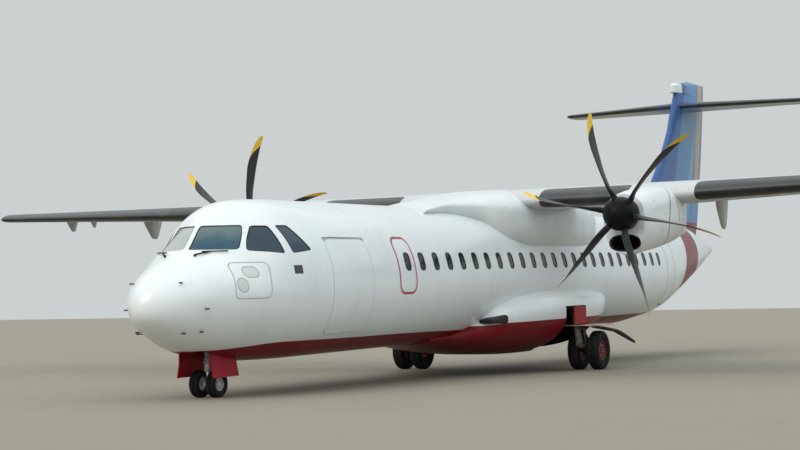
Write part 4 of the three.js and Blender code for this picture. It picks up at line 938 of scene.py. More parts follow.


# White over red, with the doors' and hatches' seams, the nose hatch and the exits' red frames; the
# open bays and the vent are painted near-black as shade.
def bodyPaintMaterial(name, redLine):
    material, w, shader, place = newMaterial(name, Coat_Roughness=0.07)
    look = bodyLines
    station, across, up = w.group(airframePlace, Place=place)
    lines = [w.times(w.line(w.minus(station, ring), 0.004), 0.3) for ring in look["rings"]]
    lines += [w.times(w.line(w.minus(up, strip), 0.004), 0.15) for strip in look["strips"]]
    red = redMask(w, station, up, redLine)
    shine = w.minus(1.0, w.times(red, 0.75))
    w.feed(shader.inputs["Coat Weight"], w.times(shine, 0.4))
    w.feed(shader.inputs["Specular IOR Level"], w.times(shine, 0.5))
    colour = w.mix(red, paintColours["white"], paintColours["red"])
    frameLine = plateMask(w, station, up, look["exitFrame"], look["exitFrame"][5])["Line"]
    colour = w.mix(frameLine, colour, paintColours["frameRed"])
    for row in look["plates"]:
        line = w.times(plateMask(w, station, up, row, row[5])["Line"], row[6])
        lines.append(w.times(line, w.ramp(w.times(across, row[7]), 0.0, 0.01)) if row[7] else line)
    port = w.ramp(across, 0.0, 0.01)
    leant = w.plus(station, w.times(w.minus(up, look["hatch"][1]), look["hatch"][6]))
    hatchLine = plateMask(w, leant, up, look["hatch"], look["hatch"][5])["Line"]
    lines.append(w.times(w.times(hatchLine, 0.75), port))
    for row in look["hatchPanels"]:
        panel = plateMask(w, station, up, row, 0.01)
        colour = w.mix(w.times(panel["Inside"], port), colour, paintColours["panelGrey"])
        lines.append(w.times(w.times(panel["Line"], 0.8), port))
    # The vent and the open bays, walls included, are painted near-black as the shade inside them.
    vent = w.times(plateMask(w, station, up, look["vent"])["Inside"], port)
    bays = [bayShadeMask(w, station, w.size(across), up, bay) for bay in look["bays"][:2]]
    bays.append(bayShadeMask(w, station, across, up, look["bays"][2]))
    colour = w.mix(w.largest(vent, *bays), colour, paintColours["hollow"])
    finishPaint(w, shader, place, colour, w.largest(*lines), amount=0.1)
    return material


# One colour, a little darker in clouds, under the common weathering.
def plainPaintMaterial(name, colour, amount=0.25, rough=0.34, along=1.0, coat=0.25):
    material, w, shader, place = newMaterial(
        name, Coat_Weight=coat, Coat_Roughness=0.12, Specular_IOR_Level=min(0.5, 2 * coat)
    )
    tint = w.mix(w.noise(place, 3.0, 5.0), colour, tuple(0.88 * c for c in colour[:3]) + (1,))
    finishPaint(w, shader, place, tint, rough=rough, amount=amount, along=along)
    return material


nacelleLines = {
    "seam": (10.53, 1.2, 2.93, 0.055),  # station where it is foremost, bend, height there, width
    "bracket": (11.1, 3.18, 0.018, 0.23, 0.016),
    "dots": ((10.338, 3.082), (10.167, 2.757), (9.9, 3.3)),
    "dot": 0.018,
}


# White with a dark cowl seam that bends back above and below, a bracket slot and a few dark fastener
# holes.
def nacellePaintMaterial():
    look = nacelleLines
    material, w, shader, place = newMaterial("nacellePaint", Coat_Weight=0.3, Coat_Roughness=0.1)
    station, _, up = w.group(airframePlace, Place=place)
    start, bend, height, width = look["seam"]
    rise = w.minus(up, height)
    seam = w.line(w.minus(w.minus(station, w.times(w.times(rise, rise), bend)), start), width)
    spots = [plateMask(w, station, up, look["bracket"])["Inside"]]
    spots += [
        plateMask(w, station, up, (*dot, look["dot"], look["dot"], look["dot"] - 0.001))["Inside"]
        for dot in look["dots"]
    ]
    finishPaint(w, shader, place, paintColours["white"], w.largest(seam, *spots), rough=0.34, amount=0.14)
    return material


# Ahead of the reach behind the front edge (longer above), between pairs of span limits, with rounded
# ends.
def bootMask(w, behind, along, upper, reach, spans):
    depth = w.timesPlus(upper, reach * 0.5, reach)
    corner = min(0.12, reach * 0.8)
    rows = [((start + end) / 2, 0.0, (end - start) / 2, depth, corner) for start, end in spans]
    return w.largest(*(plateMask(w, along, behind, row)["Inside"] for row in rows))


# Satin paint with black rubber boots along the front edge and faint spar lines; the boots' upper half
# is painted greyer as a sheen of the sky, lighter still past the sixth metre of the span.
def wingPaintMaterial(name, base, reach, spans):
    material, w, shader, place = newMaterial(name, Coat_Roughness=0.2, Specular_IOR_Level=0.3)
    u, v = surfaceMap(w)
    upper = w.ramp(u, 0.4995, 0.5005)
    behind = w.times(w.size(w.minus(u, 0.5)), 8.0)
    along = w.times(v, 16.0)
    boot = bootMask(w, behind, along, upper, reach, spans)
    ribs = w.math("PINGPONG", along, 0.62)
    seams = w.largest(
        w.times(w.line(ribs, 0.004), 0.25), w.times(w.line(w.minus(behind, 0.42), 0.004), 0.35)
    )
    # Painted sky sheen on the boots' upper half, lighter past 7.8 m; the lower half stays black.
    top = w.mix(w.ramp(along, 7.78, 7.8), paintColours["bootTop"], paintColours["bootEdge"])
    rubber = w.mix(upper, paintColours["boot"], top)
    worn = w.mix(w.times(w.noise(place, 9.0, 6.0), 0.4), rubber, paintColours["dullRubber"])
    colour = w.mix(boot, base, worn)
    finishPaint(
        w, shader, place, colour, w.times(seams, w.minus(1.0, boot)), rough=0.36, amount=0.2, along=0.2
    )
    return material


finDesign = {
    "edges": (23.3, 24.55, 25.0),  # where the straight bands change, at the foot
    "tones": ("blue", "sky", "blue"),
    "lean": 0.48,  # run of the bands per metre of height
    "foot": 3.33,
    "ochre": (26.44, 26.86, 0.23, 4.3),  # stripe near the rear edge, its own lean, its lower end
    "cap": (24.8, 6.905),  # white ahead of the station and above the height
}


# Straight slanted bands of blues over a red foot, with an ochre stripe near the rear edge and a white
# horn.
def finPaintMaterial():
    look = finDesign
    material, w, shader, place = newMaterial(
        "finPaint", Coat_Weight=0.1, Coat_Roughness=0.1, Specular_IOR_Level=0.3
    )
    station, _, up = w.group(airframePlace, Place=place)
    height = w.minus(up, look["foot"])
    slant = w.minus(station, w.times(height, look["lean"]))
    colour = paintColours["navy"]
    for edge, tone in zip(look["edges"], look["tones"]):
        colour = w.mix(w.ramp(slant, edge, edge + 0.006), colour, paintColours[tone])
    start, end, lean, low = look["ochre"]
    rear = w.minus(station, w.times(w.minus(up, 7.2), lean))
    stripe = w.times(w.ramp(rear, start, start + 0.004), w.ramp(rear, end, end + 0.004, 1.0, 0.0))
    stripe = w.times(stripe, w.ramp(up, low, low + 0.004))
    colour = w.mix(stripe, colour, paintColours["ochre"])
    capStation, capHeight = look["cap"]
    cap = w.times(
        w.ramp(station, capStation, capStation + 0.004, 1.0, 0.0), w.ramp(up, capHeight, capHeight + 0.004)
    )
    colour = w.mix(cap, colour, paintColours["white"])
    colour = w.mix(w.ramp(height, -0.003, 0.003, 1.0, 0.0), colour, paintColours["red"])
    finishPaint(w, shader, place, colour, amount=0.1)
    return material


# Dark glass; the second tone takes over downwards through the level, with clouds along the change, so
# the lighter tone above is a painted sky reflection. Given the second tone, panes on the starboard side
# are pale with a painted sky reflection.
def glassMaterial(name, colour, rough=0.05, low=None, level=2.66, gloss=0.35):
    material, w, shader, place = newMaterial(name, Coat_Roughness=0.02, Specular_IOR_Level=gloss)
    tone = w.mix(w.noise(place, 0.9, 2.0), colour, tuple(1.3 * c for c in colour[:3]) + (1,))
    if low:
        _, across, up = w.group(airframePlace, Place=place)
        # The lighter tone above the level is a painted reflection of the sky.
        height = w.timesPlus(w.noise(place, 2.2, 3.0), 0.24, up)
        tone = w.mix(w.ramp(height, level, level + 0.3, 1.0, 0.0), tone, low)
        # The starboard panes are pale with a painted reflection of the sky.
        pale = w.ramp(across, -0.01, 0.01, 1.0, 0.0)
        tone = w.mix(pale, tone, paintColours["paleGlass"])
    feedShader(w, shader, tone, w.timesPlus(w.noise(place, 14.0, 4.0), 0.05, rough))
    return material


# Fine grain in the bump, and pale dust in patches.
def rubberMaterial(name, colour=(0.018, 0.018, 0.019, 1), rough=0.75):
    material, w, shader, place = newMaterial(name, Specular_IOR_Level=0.15)
    grain = w.noise(place, 60.0, 5.0)
    dust = w.ramp(w.noise(place, 6.0, 6.0, 0.65), 0.45, 0.75)
    dusty = w.mix(w.times(dust, 0.35), colour, paintColours["dust"])
    feedShader(w, shader, dusty, w.timesPlus(grain, 0.15, rough - 0.05), grain)
    return material


# Metal or enamel with dull, dirty spots.
def metalMaterial(name, colour, rough=0.35, metallic=1.0, grime=0.35, gloss=0.5):
    material, w, shader, place = newMaterial(name, Metallic=metallic, Specular_IOR_Level=gloss)
    spots = w.ramp(w.noise(place, 7.0, 7.0, 0.65), 0.42, 0.7)
    dirty = w.mix(w.times(spots, grime), colour, paintColours["grime"])
    feedShader(w, shader, dirty, w.timesPlus(spots, 0.3, rough))
    return material


bladeLook = {
    "tipStart": 1.45, "tipRun": 0.31, "yellow": (0.8, 0.52, 0.045, 1), "black": (0.024, 0.027, 0.029, 1)
}


# Satin composite; one face has a yellow tip whose edge runs from the front back outwards with the
# square root of the chord share. u is 0.5 plus or minus half the chord share by face, v the radius
# over 2 m.
def bladeMaterial():
    look = bladeLook
    material, w, shader, place = newMaterial("bladePaint", Specular_IOR_Level=0.22)
    u, v = surfaceMap(w)
    share = w.times(w.size(w.minus(u, 0.5)), 2.0)
    edge = w.timesPlus(w.math("SQRT", share), look["tipRun"], look["tipStart"])
    tip = w.ramp(w.minus(w.times(v, 2.0), edge), 0.0, 0.006)
    tip = w.times(tip, w.ramp(u, 0.499, 0.5, 1.0, 0.0))
    wear = w.ramp(w.noise(place, 12.0, 6.0, 0.65), 0.5, 0.8)
    dark = w.mix(w.times(wear, 0.3), look["black"], (0.06, 0.065, 0.07, 1))
    colour = w.mix(tip, dark, look["yellow"])
    feedShader(w, shader, colour, w.timesPlus(wear, 0.2, 0.34))
    return material


print("stage: finishes")
bodyPaint = bodyPaintMaterial("bodyPaint", bodyLines["bodyRed"])
bellyPaint = bodyPaintMaterial("bellyPaint", bodyLines["bellyRed"])
nacellePaint = nacellePaintMaterial()
redPaint = plainPaintMaterial("redPaint", paintColours["doorRed"], 0.15, coat=0.03)
whitePaint = plainPaintMaterial("whitePaint", paintColours["white"], 0.1)
greyPaint = plainPaintMaterial("greyPaint", (0.5, 0.52, 0.52, 1), 0.45, 0.42)
wingPaint = wingPaintMaterial("wingPaint", paintColours["wingGrey"], 0.245, ((1.6, 3.5), (4.84, 13.3)))
tailplanePaint = wingPaintMaterial("tailplanePaint", paintColours["wingGrey"], 0.13, ((0.05, 3.56),))
finPaint = finPaintMaterial()
# The windscreen's lighter upper tone and its pale starboard panes are painted sky reflections.
cockpitGlass = glassMaterial("cockpitGlass", (0.105, 0.15, 0.155, 1), low=(0.02, 0.075, 0.11, 1))
sideGlass = glassMaterial("sideGlass", (0.022, 0.042, 0.062, 1))
cabinGlass = glassMaterial("cabinGlass", (0.018, 0.021, 0.025, 1), 0.09)
sealRubber = rubberMaterial("sealRubber", (0.02, 0.021, 0.022, 1), 0.6)
tyreRubber = rubberMaterial("tyreRubber", (0.012, 0.012, 0.013, 1))
gearEnamel = metalMaterial("gearEnamel", (0.42, 0.43, 0.42, 1), 0.45, 0.0, 0.75)
# Dark brown-grey with heavy dull spots, for the main gear only; the nose gear is light grey.
gearDirty = metalMaterial("gearDirty", (0.115, 0.108, 0.096, 1), 0.5, 0.0, 0.85, 0.3)
brightMetal = metalMaterial("brightMetal", (0.72, 0.73, 0.74, 1), 0.22, 1.0, 0.2)
darkMetal = metalMaterial("darkMetal", (0.03, 0.03, 0.032, 1), 0.5, 0.0, 0.3, 0.2)
hubRed = metalMaterial("hubRed", (0.17, 0.035, 0.045, 1), 0.5, 0.0, 0.35, 0.3)
hubGrey = metalMaterial("hubGrey", (0.46, 0.48, 0.48, 1), 0.4, 0.2, 0.4)
spinnerBlack = metalMaterial("spinnerBlack", (0.006, 0.006, 0.0065, 1), 0.38, 0.0, 0.02, 0.1)
bladePaint = bladeMaterial()
bayPink = plainPaintMaterial("bayPink", (0.66, 0.42, 0.41, 1), 0.2, 0.4, coat=0.1)
# Near-black: painted shade inside the engine intakes.
hollowBlack = plainPaintMaterial("hollowBlack", (0.006, 0.006, 0.006, 1), 0.0, 0.9)


# Fuselage

doorLook = {
    "thick": 0.045,
    "swingGap": 0.01,
    "swingDepth": 0.03,  # room behind a panel on a hinge
    "fixedGap": 0.006,
    "fixedDepth": 0.0005,
    "hingeDepth": 0.007,
    "hingeRadius": 0.008,
    "hingeRecess": 0.036,
    "hingeReach": 0.06,
    # station of the middle, width, lower and upper edge, corner, side, hinge height
    "doors": {
        "cargo_door": (3.9, 1.275, 1.13, 2.66, 0.12, 1, 2.663),
        "passenger_door": (19.995, 0.73, 1.18, 2.9, 0.11, 1, 1.177),
        "service_door": (19.7, 0.62, 1.45, 2.7, 0.09, -1, None),
        "exit_hatch_left": (5.725, 0.54, 1.73, 2.69, 0.13, 1, None),
        "exit_hatch_right": (5.725, 0.54, 1.73, 2.69, 0.13, -1, None),
    },
}
cabinLook = {
    "first": 5.83,
    "pitch": 0.5448,
    "count": 25,
    "height": 2.282,
    "half": (0.1175, 0.162),
    "corner": 0.085,
    "recess": 0.024,
    "pane": (-0.004, -0.014, -0.022),  # growth of the outline, upper and lower face
    "frame": (-0.01, -0.0005, -0.006, -0.022),  # inner and outer edge, upper and lower face
}
cockpitLook = {
    "depth": 0.013,
    "paneThick": 0.012,
    "seal": (-0.012, 0.003, -0.004, -0.03),  # inner and outer edge, upper and lower face
    "corner": 0.045,
    "front": ((0.046, 2.52), (0.734, 2.508), (0.594, 2.892), (0.042, 2.894)),  # across, up
    "side": (((1.65, 2.493), (2.212, 2.435), (2.162, 2.878), (1.925, 2.88)),  # station, up
             ((2.366, 2.438), (2.834, 2.486), (2.534, 2.886), (2.277, 2.882))),
}


# The skin of one side as a function of station and height.
def sideSurface(side):
    return lambda station, up: skinSide(station, up, side)


# The door's rounded box in station and height, its side and its hinge height.
def doorOutline(name, grow=0.0):
    middle, width, low, high, corner, side, hinge = doorLook["doors"][name]
    outline = roundedBox(middle, (low + high) / 2, width / 2 + grow, (high - low) / 2 + grow, corner + grow)
    return densified(outline, 0.06), side, hinge


# Row points of the hinge line's ends, a little under the skin.
def hingeEnds(name, grow=0.0):
    middle, width, _, _, _, side, hinge = doorLook["doors"][name]
    reach = width / 2 + grow
    ends = skinSide(np.array((middle - reach, middle + reach)), hinge, side)
    ends[:, 1] -= side * doorLook["hingeDepth"]
    return ends


# Evenly spaced stations of the cabin windows' middles.
def windowStations():
    return cabinLook["first"] + cabinLook["pitch"] * np.arange(cabinLook["count"])


# A rounded box in station and height.
def windowOutline(station, grow=0.0):
    halfA, halfB = cabinLook["half"]
    return roundedBox(
        station, cabinLook["height"], halfA + grow, halfB + grow, cabinLook["corner"] + grow, 6
    )


# Slabs over the window outlines, between two distances from the skin.
def windowParts(grow, high, low, sides=(1, -1), stations=None, crown=0.0):
    stations = windowStations() if stations is None else stations
    return [
        patch(sideSurface(side), windowOutline(s, grow), high, low, 3, crown)
        for s in stations
        for side in sides
    ]


# The six cockpit panes: (surface, outline) of the windscreen from ahead and of the side panes.
def paneOutlines():
    panes = []
    for side in (1, -1):
        front = roundedCorners([(a * side, b) for a, b in cockpitLook["front"]], cockpitLook["corner"])
        panes.append((skinAhead, densified(front, 0.05)))
        for corners in cockpitLook["side"]:
            panes.append(
                (sideSurface(side), densified(roundedCorners(corners, cockpitLook["corner"]), 0.05))
            )
    return panes


# A box between airframe limits, with its edges along the body eased.
def airBox(stations, across, up, bevel=0.0):
    return loft([toRow(s, *easedRing(across, up, bevel)) for s in stations])


# The barrel with its pockets, grooves, window seats and nose bay cut in, the radome ahead and the
# tail cone behind.
def buildFuselage():
    look, skin = doorLook, fuselageLook
    stops, seam = skin["skinStops"], skin["seam"]
    ends = (stops[0] + seam, *stops[1:-1], stops[-1] - seam)
    parts = [np.linspace(*limits, rings) for *limits, rings in zip(ends[:-1], ends[1:], skin["skinRings"])]
    body = newObject("fuselage_skin", *loft(skinBody(np.unique(np.concatenate(parts)))), bodyPaint)
    pockets, grooves = [], []
    for name in look["doors"]:
        gap = look["swingGap"] if look["doors"][name][-1] else look["fixedGap"]
        outline, side, hinge = doorOutline(name, gap)
        depth = look["thick"] + (look["swingDepth"] if hinge else look["fixedDepth"])
        pockets.append(patch(sideSurface(side), outline, 0.03, -depth, 4))
        if hinge:
            grooves.append(bar(*hingeEnds(name, look["swingGap"]), look["hingeRecess"], 40))
    panes = [
        patch(surface, grownOutline(outline, 0.002), 0.06, -0.05, 5) for surface, outline in paneOutlines()
    ]
    windows = windowParts(0.0, 0.02, -cabinLook["recess"], stations=windowStations()[1:])
    for cuts in (pockets, grooves, panes, windows, [airBox(*bodyLines["bays"][2])]):
        carve(body, cuts)
        print("  fuselage faces:", len(body.data.polygons))
    place(body, "root", "fuselage_paint", "fuselage")
    start = skin["radomeStart"]
    nose = start + (stops[0] - seam - start) * np.linspace(0, 1, skin["radomeRings"]) ** 2
    radome = newObject("radome_shell", *loft(skinBody(nose)), bodyPaint)
    place(radome, "root", "fuselage_paint", "radome")
    rings = skinBody(np.linspace(stops[-1] + seam, skin["coneEnd"], skin["coneRings"]))
    last, centre = rings[-1], rings[-1].mean(0)
    closing = quarterSine(7)[1:-1][:, None, None]
    ends = centre + (last - centre) * np.sqrt(1 - closing**2) - np.array((skin["coneCap"], 0, 0)) * closing
    cone = newObject("tail_cone_shell", *loft(np.concatenate([rings, ends])), bodyPaint)
    place(cone, "root", "fuselage_paint", "tail_cone")


# Curved panels in their pockets, and a rod along every hinge.
def buildDoors():
    look = doorLook
    for name in look["doors"]:
        outline, side, hinge = doorOutline(name, 0.002)
        panel = newObject(
            name + "_panel", *patch(sideSurface(side), outline, 0.0, -look["thick"], 8), bodyPaint
        )
        if name.startswith("exit"):
            carve(panel, windowParts(0.0, 0.02, -cabinLook["recess"], (side,), windowStations()[:1]))
        if hinge:
            front, back = hingeEnds(name)
            carve(panel, [bar(front, back, look["hingeRadius"] + 0.0008, 16)])
            reach = (back - front) / np.linalg.norm(back - front) * look["hingeReach"]
            rod = newObject(
                name + "_hinge_rod", *bar(front - reach, back + reach, look["hingeRadius"], 16), brightMetal
            )
            place(rod, "root", "gear_paint")
        body = name if hinge else "root"
        place(panel, body, "fuselage_paint", name)


# Panes set into the cabin window seats and a rubber frame round each.
def buildWindows():
    panes = windowParts(*cabinLook["pane"], crown=0.003)
    placeParts("cabin_windows", panes, cabinGlass, "root", "cockpit_glass")
    frames = [
        rim(sideSurface(side), densified(windowOutline(s), 0.03), *cabinLook["frame"])
        for s in windowStations() for side in (1, -1)
    ]
    placeParts("cabin_window_frames", frames, sealRubber, "root", "fuselage_paint")


# Six panes below the skin, each in a rubber seal.
def buildCockpit():
    outlines = paneOutlines()
    depth, thick = cockpitLook["depth"], cockpitLook["paneThick"]
    front, side = [], []
    for surface, outline in outlines:
        panes = front if surface is skinAhead else side
        panes.append(patch(surface, grownOutline(outline, -0.002), -depth, -depth - thick, 8))
    placeParts("windscreen_panes", front, cockpitGlass, "root", "cockpit_glass", "cockpit_glazing")
    placeParts("cockpit_side_panes", side, sideGlass, "root", "cockpit_glass")
    seals = [rim(surface, outline, *cockpitLook["seal"]) for surface, outline in outlines]
    placeParts("cockpit_seals", seals, sealRubber, "root", "cockpit_glass")


smallLook = {
    "wiperStand": (0.014, 0.0, 0.022),
    "wiperDrop": 0.052,  # below the windscreen's foot
    "wiperBlade": (0.33, 0.66),  # across, inner and outer end
    "wiperArm": (0.28, 0.45),
    "armDrop": 0.05,
    "wiperRadii": (0.01, 0.013, 0.02),  # blade, arm and boss
    # station, height and length of each probe
    "probes": ((0.43, 2.021, 0.05), (0.69, 1.623, 0.09), (0.53, 1.263, 0.06), (0.74, 1.279, 0.07)),
    "probeStand": 0.034,
    "probeRadius": 0.011,
}


# Wipers at the foot of the windscreen and the air data probes on the nose: short masts with a tube
# ahead.
def buildSmallParts():
    look = smallLook
    foot = cockpitLook["front"][0][1] - look["wiperDrop"]
    stand = np.array(look["wiperStand"])
    bladeRadius, armRadius, bossRadius = look["wiperRadii"]
    wipers = []
    for side in (1, -1):
        across = np.linspace(*look["wiperBlade"], 7) * side
        wipers.append(tube(skinAhead(across, foot) + stand, bladeRadius, 10))
        arm = skinAhead(np.array(look["wiperArm"]) * side, np.array([foot - look["armDrop"], foot])) + stand
        wipers.append(bar(*arm, armRadius, 12))
        wipers.append(bar(arm[0] - stand * 1.5, arm[0], bossRadius, 14))
    placeParts("windscreen_wipers", wipers, sealRubber, "root", "cockpit_glass")
    probes = []
    for station, up, length in look["probes"]:
        ahead = np.array((length, 0.0, 0.0))
        for side in (1, -1):
            foot, head = (
                skinSide(np.array([station]), up, side, grow)[0] for grow in (-0.01, look["probeStand"])
            )
            probes.append(bar(foot, head, look["probeRadius"] * 0.8, 12))
            probes.append(bar(head - ahead * 0.15, head + ahead, look["probeRadius"], 12, bevel=0.003))
    placeParts("air_data_probes", probes, darkMetal, "root", "engine_case")


print("stage: fuselage")
buildFuselage()
buildDoors()
buildWindows()
buildCockpit()
buildSmallParts()


# Fairings

rootFairingTable = np.array([  # station, top, foot where the side meets the skin, power of the crown
    (7.9, 3.3, 3.2, 2.2), (8.9, 3.485, 3.23, 2.2), (9.94, 3.6, 3.09, 2.4), (10.33, 3.65, 2.868, 2.7),
    (10.62, 3.68, 2.725, 3), (11.05, 3.725, 2.63, 3), (11.5, 3.765, 2.58, 3), (12.7, 3.81, 2.577, 3),
    (13.9, 3.785, 2.577, 3), (14.85, 3.64, 2.655, 2.8), (15.2, 3.56, 2.86, 2.5), (15.5, 3.49, 3.11, 2.3),
    (16.25, 3.325, 3.29, 2.2)])
# station, bottom, half, top
bellyTable = np.array(
    [
        (7.9, 0.735, 0.7, 0.9), (8.6, 0.64, 1.0, 1.02), (9.0, 0.585, 1.25, 1.15), (9.25, 0.55, 1.44, 1.33),
        (9.5, 0.52, 1.57, 1.5), (9.863, 0.485, 1.66, 1.601), (10.418, 0.425, 1.75, 1.688),
        (11.049, 0.39, 1.84, 1.735), (11.773, 0.358, 1.91, 1.769), (12.667, 0.352, 1.96, 1.76),
        (13.16, 0.45, 1.94, 1.747), (13.7, 0.58, 1.87, 1.725), (14.192, 0.74, 1.76, 1.708),
        (14.746, 0.85, 1.55, 1.701), (14.993, 0.88, 1.455, 1.722), (15.25, 0.9, 1.25, 1.5),
    ]
)
fairingLook = {
    # rise of the widest line over the foot, its greatest share, tuck below, power there
    "side": (0.38, 0.45, 0.66, 3.0),
    "bellyWidest": 0.62,  # share of the belly fairing's height where it is widest
    "bay": ((11.65, 13.05), (0.62, 2.3), (0.0, 0.93)),
    "legWell": ((11.69, 12.62), (1.5, 2.3), (0.9, 1.33)),
    # station, top, bottom and outer reach of the air scoops
    "scoop": (
        (9.08, 1.165, 1.075, 1.46), (9.13, 1.172, 1.072, 1.48),
        (9.48, 1.24, 1.06, 1.61), (9.5, 1.23, 1.07, 1.59),
    ),
    "scoopInner": 1.18,
}


# Section rings at even stations between a table's ends; row turns the smoothed columns into a
# section.
def bodyOf(table, columns, count, row):
    stations = np.linspace(table[0, 0], table[-1, 0], count)[:, None]
    curves = {name: smoothTable(table[:, 0], table[:, i + 1])(stations) for i, name in enumerate(columns)}
    angles = ringAngles(96)
    return toRow(stations, *sectionPoint(row(curves), angles[None, :]))


# The straight centre wing, a little larger, to be cut out of what meets it.
def insideWing(grow):
    spans = np.linspace(-wingLook["centreEnd"], wingLook["centreEnd"], 9)
    return loft(surfaceRings(centreSection, spans, points=48, grow=grow)[0])


# The wing root fairing over the roof, the belly fairing with its bays, and the air scoops.
def buildFairings():
    stations = np.linspace(rootFairingTable[0, 0], rootFairingTable[-1, 0], 120)[:, None]
    most, share, tuck, power = fairingLook["side"]

    def sideRow(c):
        lift = np.minimum(most, share * (c["top"] - c["foot"]))
        reach = (1 - (1 / (1 + tuck)) ** power) ** (1 / power)
        return {
            "top": c["top"], "bottom": c["foot"] - tuck * lift, "widest": c["foot"] + lift,
            "crown": c["crown"], "belly": power, "half": skinHalf(stations, c["foot"]) / reach,
        }

    top = bodyOf(rootFairingTable, ("top", "foot", "crown"), 120, sideRow)
    upper = newObject("root_fairing_skin", *loft(top), whitePaint)
    fuselageCore = loft(skinBody(np.linspace(7.0, 17.0, 60), wingLook["seat"], 96))
    carve(upper, [fuselageCore])
    carve(upper, [insideWing(wingLook["seat"])])
    place(upper, "root", "fuselage_paint", "wing_root_fairing")

    def bellyRow(c):
        widest = c["bottom"] + (c["top"] - c["bottom"]) * fairingLook["bellyWidest"]
        return {**c, "widest": widest, "crown": 2.5, "belly": 2.5}

    belly = bodyOf(bellyTable, ("bottom", "half", "top"), 140, bellyRow)
    lower = newObject("belly_fairing_skin", *loft(belly), bellyPaint)
    carve(lower, [fuselageCore])
    bays = [airBox(*fairingLook["bay"]), airBox(*fairingLook["legWell"])]
    for part in bays:
        carve(lower, [part, mirroredPart(part)])
    place(lower, "root", "belly_paint", "belly_fairing")
    scoops = np.array(fairingLook["scoop"])
    angles = ringAngles(40)
    inner = fairingLook["scoopInner"]
    rings = []
    for station, high, low, outer in scoops:
        row = {"top": high, "bottom": low, "half": (outer - inner) / 2, "widest": (high + low) / 2,
               "crown": 4.0, "belly": 4.0, "side": (outer + inner) / 2}
        rings.append(toRow(station, *sectionPoint(row, angles)))
    place(newObject("air_scoops", *both(loft(rings)), darkMetal), "root", "belly_paint")


print("stage: fairings")
buildFairings()


# Wing, flaps and ailerons

panelLook = {
    "clear": 0.006,
    "noseShare": 0.98,  # radius of the round nose as a share of the half thickness there
    # inner and outer end, hinge share of the chord, lips of the cove above and below in degrees
    "flap_inner": (1.6, 3.49, 0.7, 80, 46),
    "flap_outer": (4.64, 9.76, 0.7, 80, 46),
    "aileron": (9.8, 13.08, 0.72, 68, 68),
}
hingeFairings = {  # panel: (across, length behind the hinge, depth, half width)
    "flap_outer": ((4.715, 0.8, 0.72, 0.062), (9.665, 0.8, 0.54, 0.065)),
    "aileron": ((11.33, 0.3, 0.24, 0.03), (12.08, 0.47, 0.33, 0.05)),
}
# share of the length, share of the depth, share of the half width
fairingShape = np.array(
    [
        (0.02, 0.16, 0.5), (0.28, 0.66, 1.0), (0.52, 1.0, 1.0), (0.68, 1.0, 0.9), (0.86, 0.55, 0.6),
        (1.0, 0.12, 0.2),
    ]
)


# The room that a hinged panel fills, and the cove that is cut for it with its clearance.
def panelZones(name):
    inner, outer, share, highLip, lowLip = panelLook[name]
    hinges = [wingHinge(inner, share), wingHinge(outer, share)]
    radii = [wingHalf(a, share) * panelLook["noseShare"] for a in (inner, outer)]
    own = hingeRegion(hinges, radii, (90, 90))
    cove = hingeRegion(
        hinges, [r + panelLook["clear"] for r in radii], (highLip, lowLip), stretch=panelLook["clear"]
    )
    return own, cove


# Even steps of about a third of a metre between stops, closer near the tip.
def spanStations(*stops):
    parts = [np.linspace(a, b, max(2, int((b - a) / 0.35) + 2))[:-1] for a, b in zip(stops[:-1], stops[1:])]
    return np.concatenate([*parts, stops[-1:]])


# Stations across one outer wing, closer towards the tip by a quarter sine wave.
def outerSpans():
    start = wingLook["tipStart"]
    tip = start + (wingLook["halfSpan"] - start) * quarterSine(16)[1:]
    return np.concatenate([spanStations(wingLook["centreEnd"] + wingLook["seat"], start), tip])


# A canoe-shaped fairing under the hinge: sections whose depth and width follow the shape table.
def hingeFairingPart(across, length, depth, half, share):
    station, _, up = wingHinge(across, share)
    t = np.linspace(0.02, 1.0, 26)
    deep, wide = (smoothTable(fairingShape[:, 0], fairingShape[:, i])(t)[:, None] for i in (1, 2))
    row = {"top": up, "bottom": up - depth * deep, "half": half * wide, "widest": up - depth * deep * 0.45,
           "crown": 3.0, "belly": 2.0, "side": across}
    angles = ringAngles(32)
    return loft(toRow(station + t[:, None] * length, *sectionPoint(row, angles[None, :])))


# The centre and outer wings with coves cut for the flaps and ailerons, which keep the hinge's room of
# the same section.
def buildWing():
    end = wingLook["centreEnd"]
    centre = surfacePiece("wing_center_skin", centreSection, spanStations(-end, end), wingPaint)
    flapZone, flapCove = panelZones("flap_inner")
    flapSpans = spanStations(*panelLook["flap_inner"][:2])
    innerFlap = surfacePiece("flap_inner_left_skin", centreSection, flapSpans, wingPaint)
    carve(innerFlap, [flapZone], "INTERSECT")
    carve(centre, [flapCove, mirroredPart(flapCove)])
    place(centre, "root", "wing_paint", "wing_center")
    wing = surfacePiece("wing_left_skin", wingSection, outerSpans(), wingPaint)
    pieces = [(innerFlap, "flap_inner")]
    for name in ("flap_outer", "aileron"):
        inner, outer, *_ = panelLook[name]
        own, cove = panelZones(name)
        panel = surfacePiece(name + "_left_skin", wingSection, spanStations(inner, outer), wingPaint)
        carve(panel, [own], "INTERSECT")
        carve(wing, [cove])
        pieces.append((panel, name))
    placeBoth(wing, "root", "wing_paint", "wing")
    for panel, name in pieces:
        placeBoth(panel, name, "wing_paint", name)
        if name in hingeFairings:
            parts = joined([hingeFairingPart(*row, panelLook[name][2]) for row in hingeFairings[name]])
            place(newObject(name + "_left_fairings", *parts, greyPaint), name + "_left", "wing_paint")
            place(
                newObject(name + "_right_fairings", *mirroredPart(parts), greyPaint), name + "_right",
                "wing_paint",
            )


print("stage: wing")
buildWing()


# Fin, rudder, tailplane and elevators

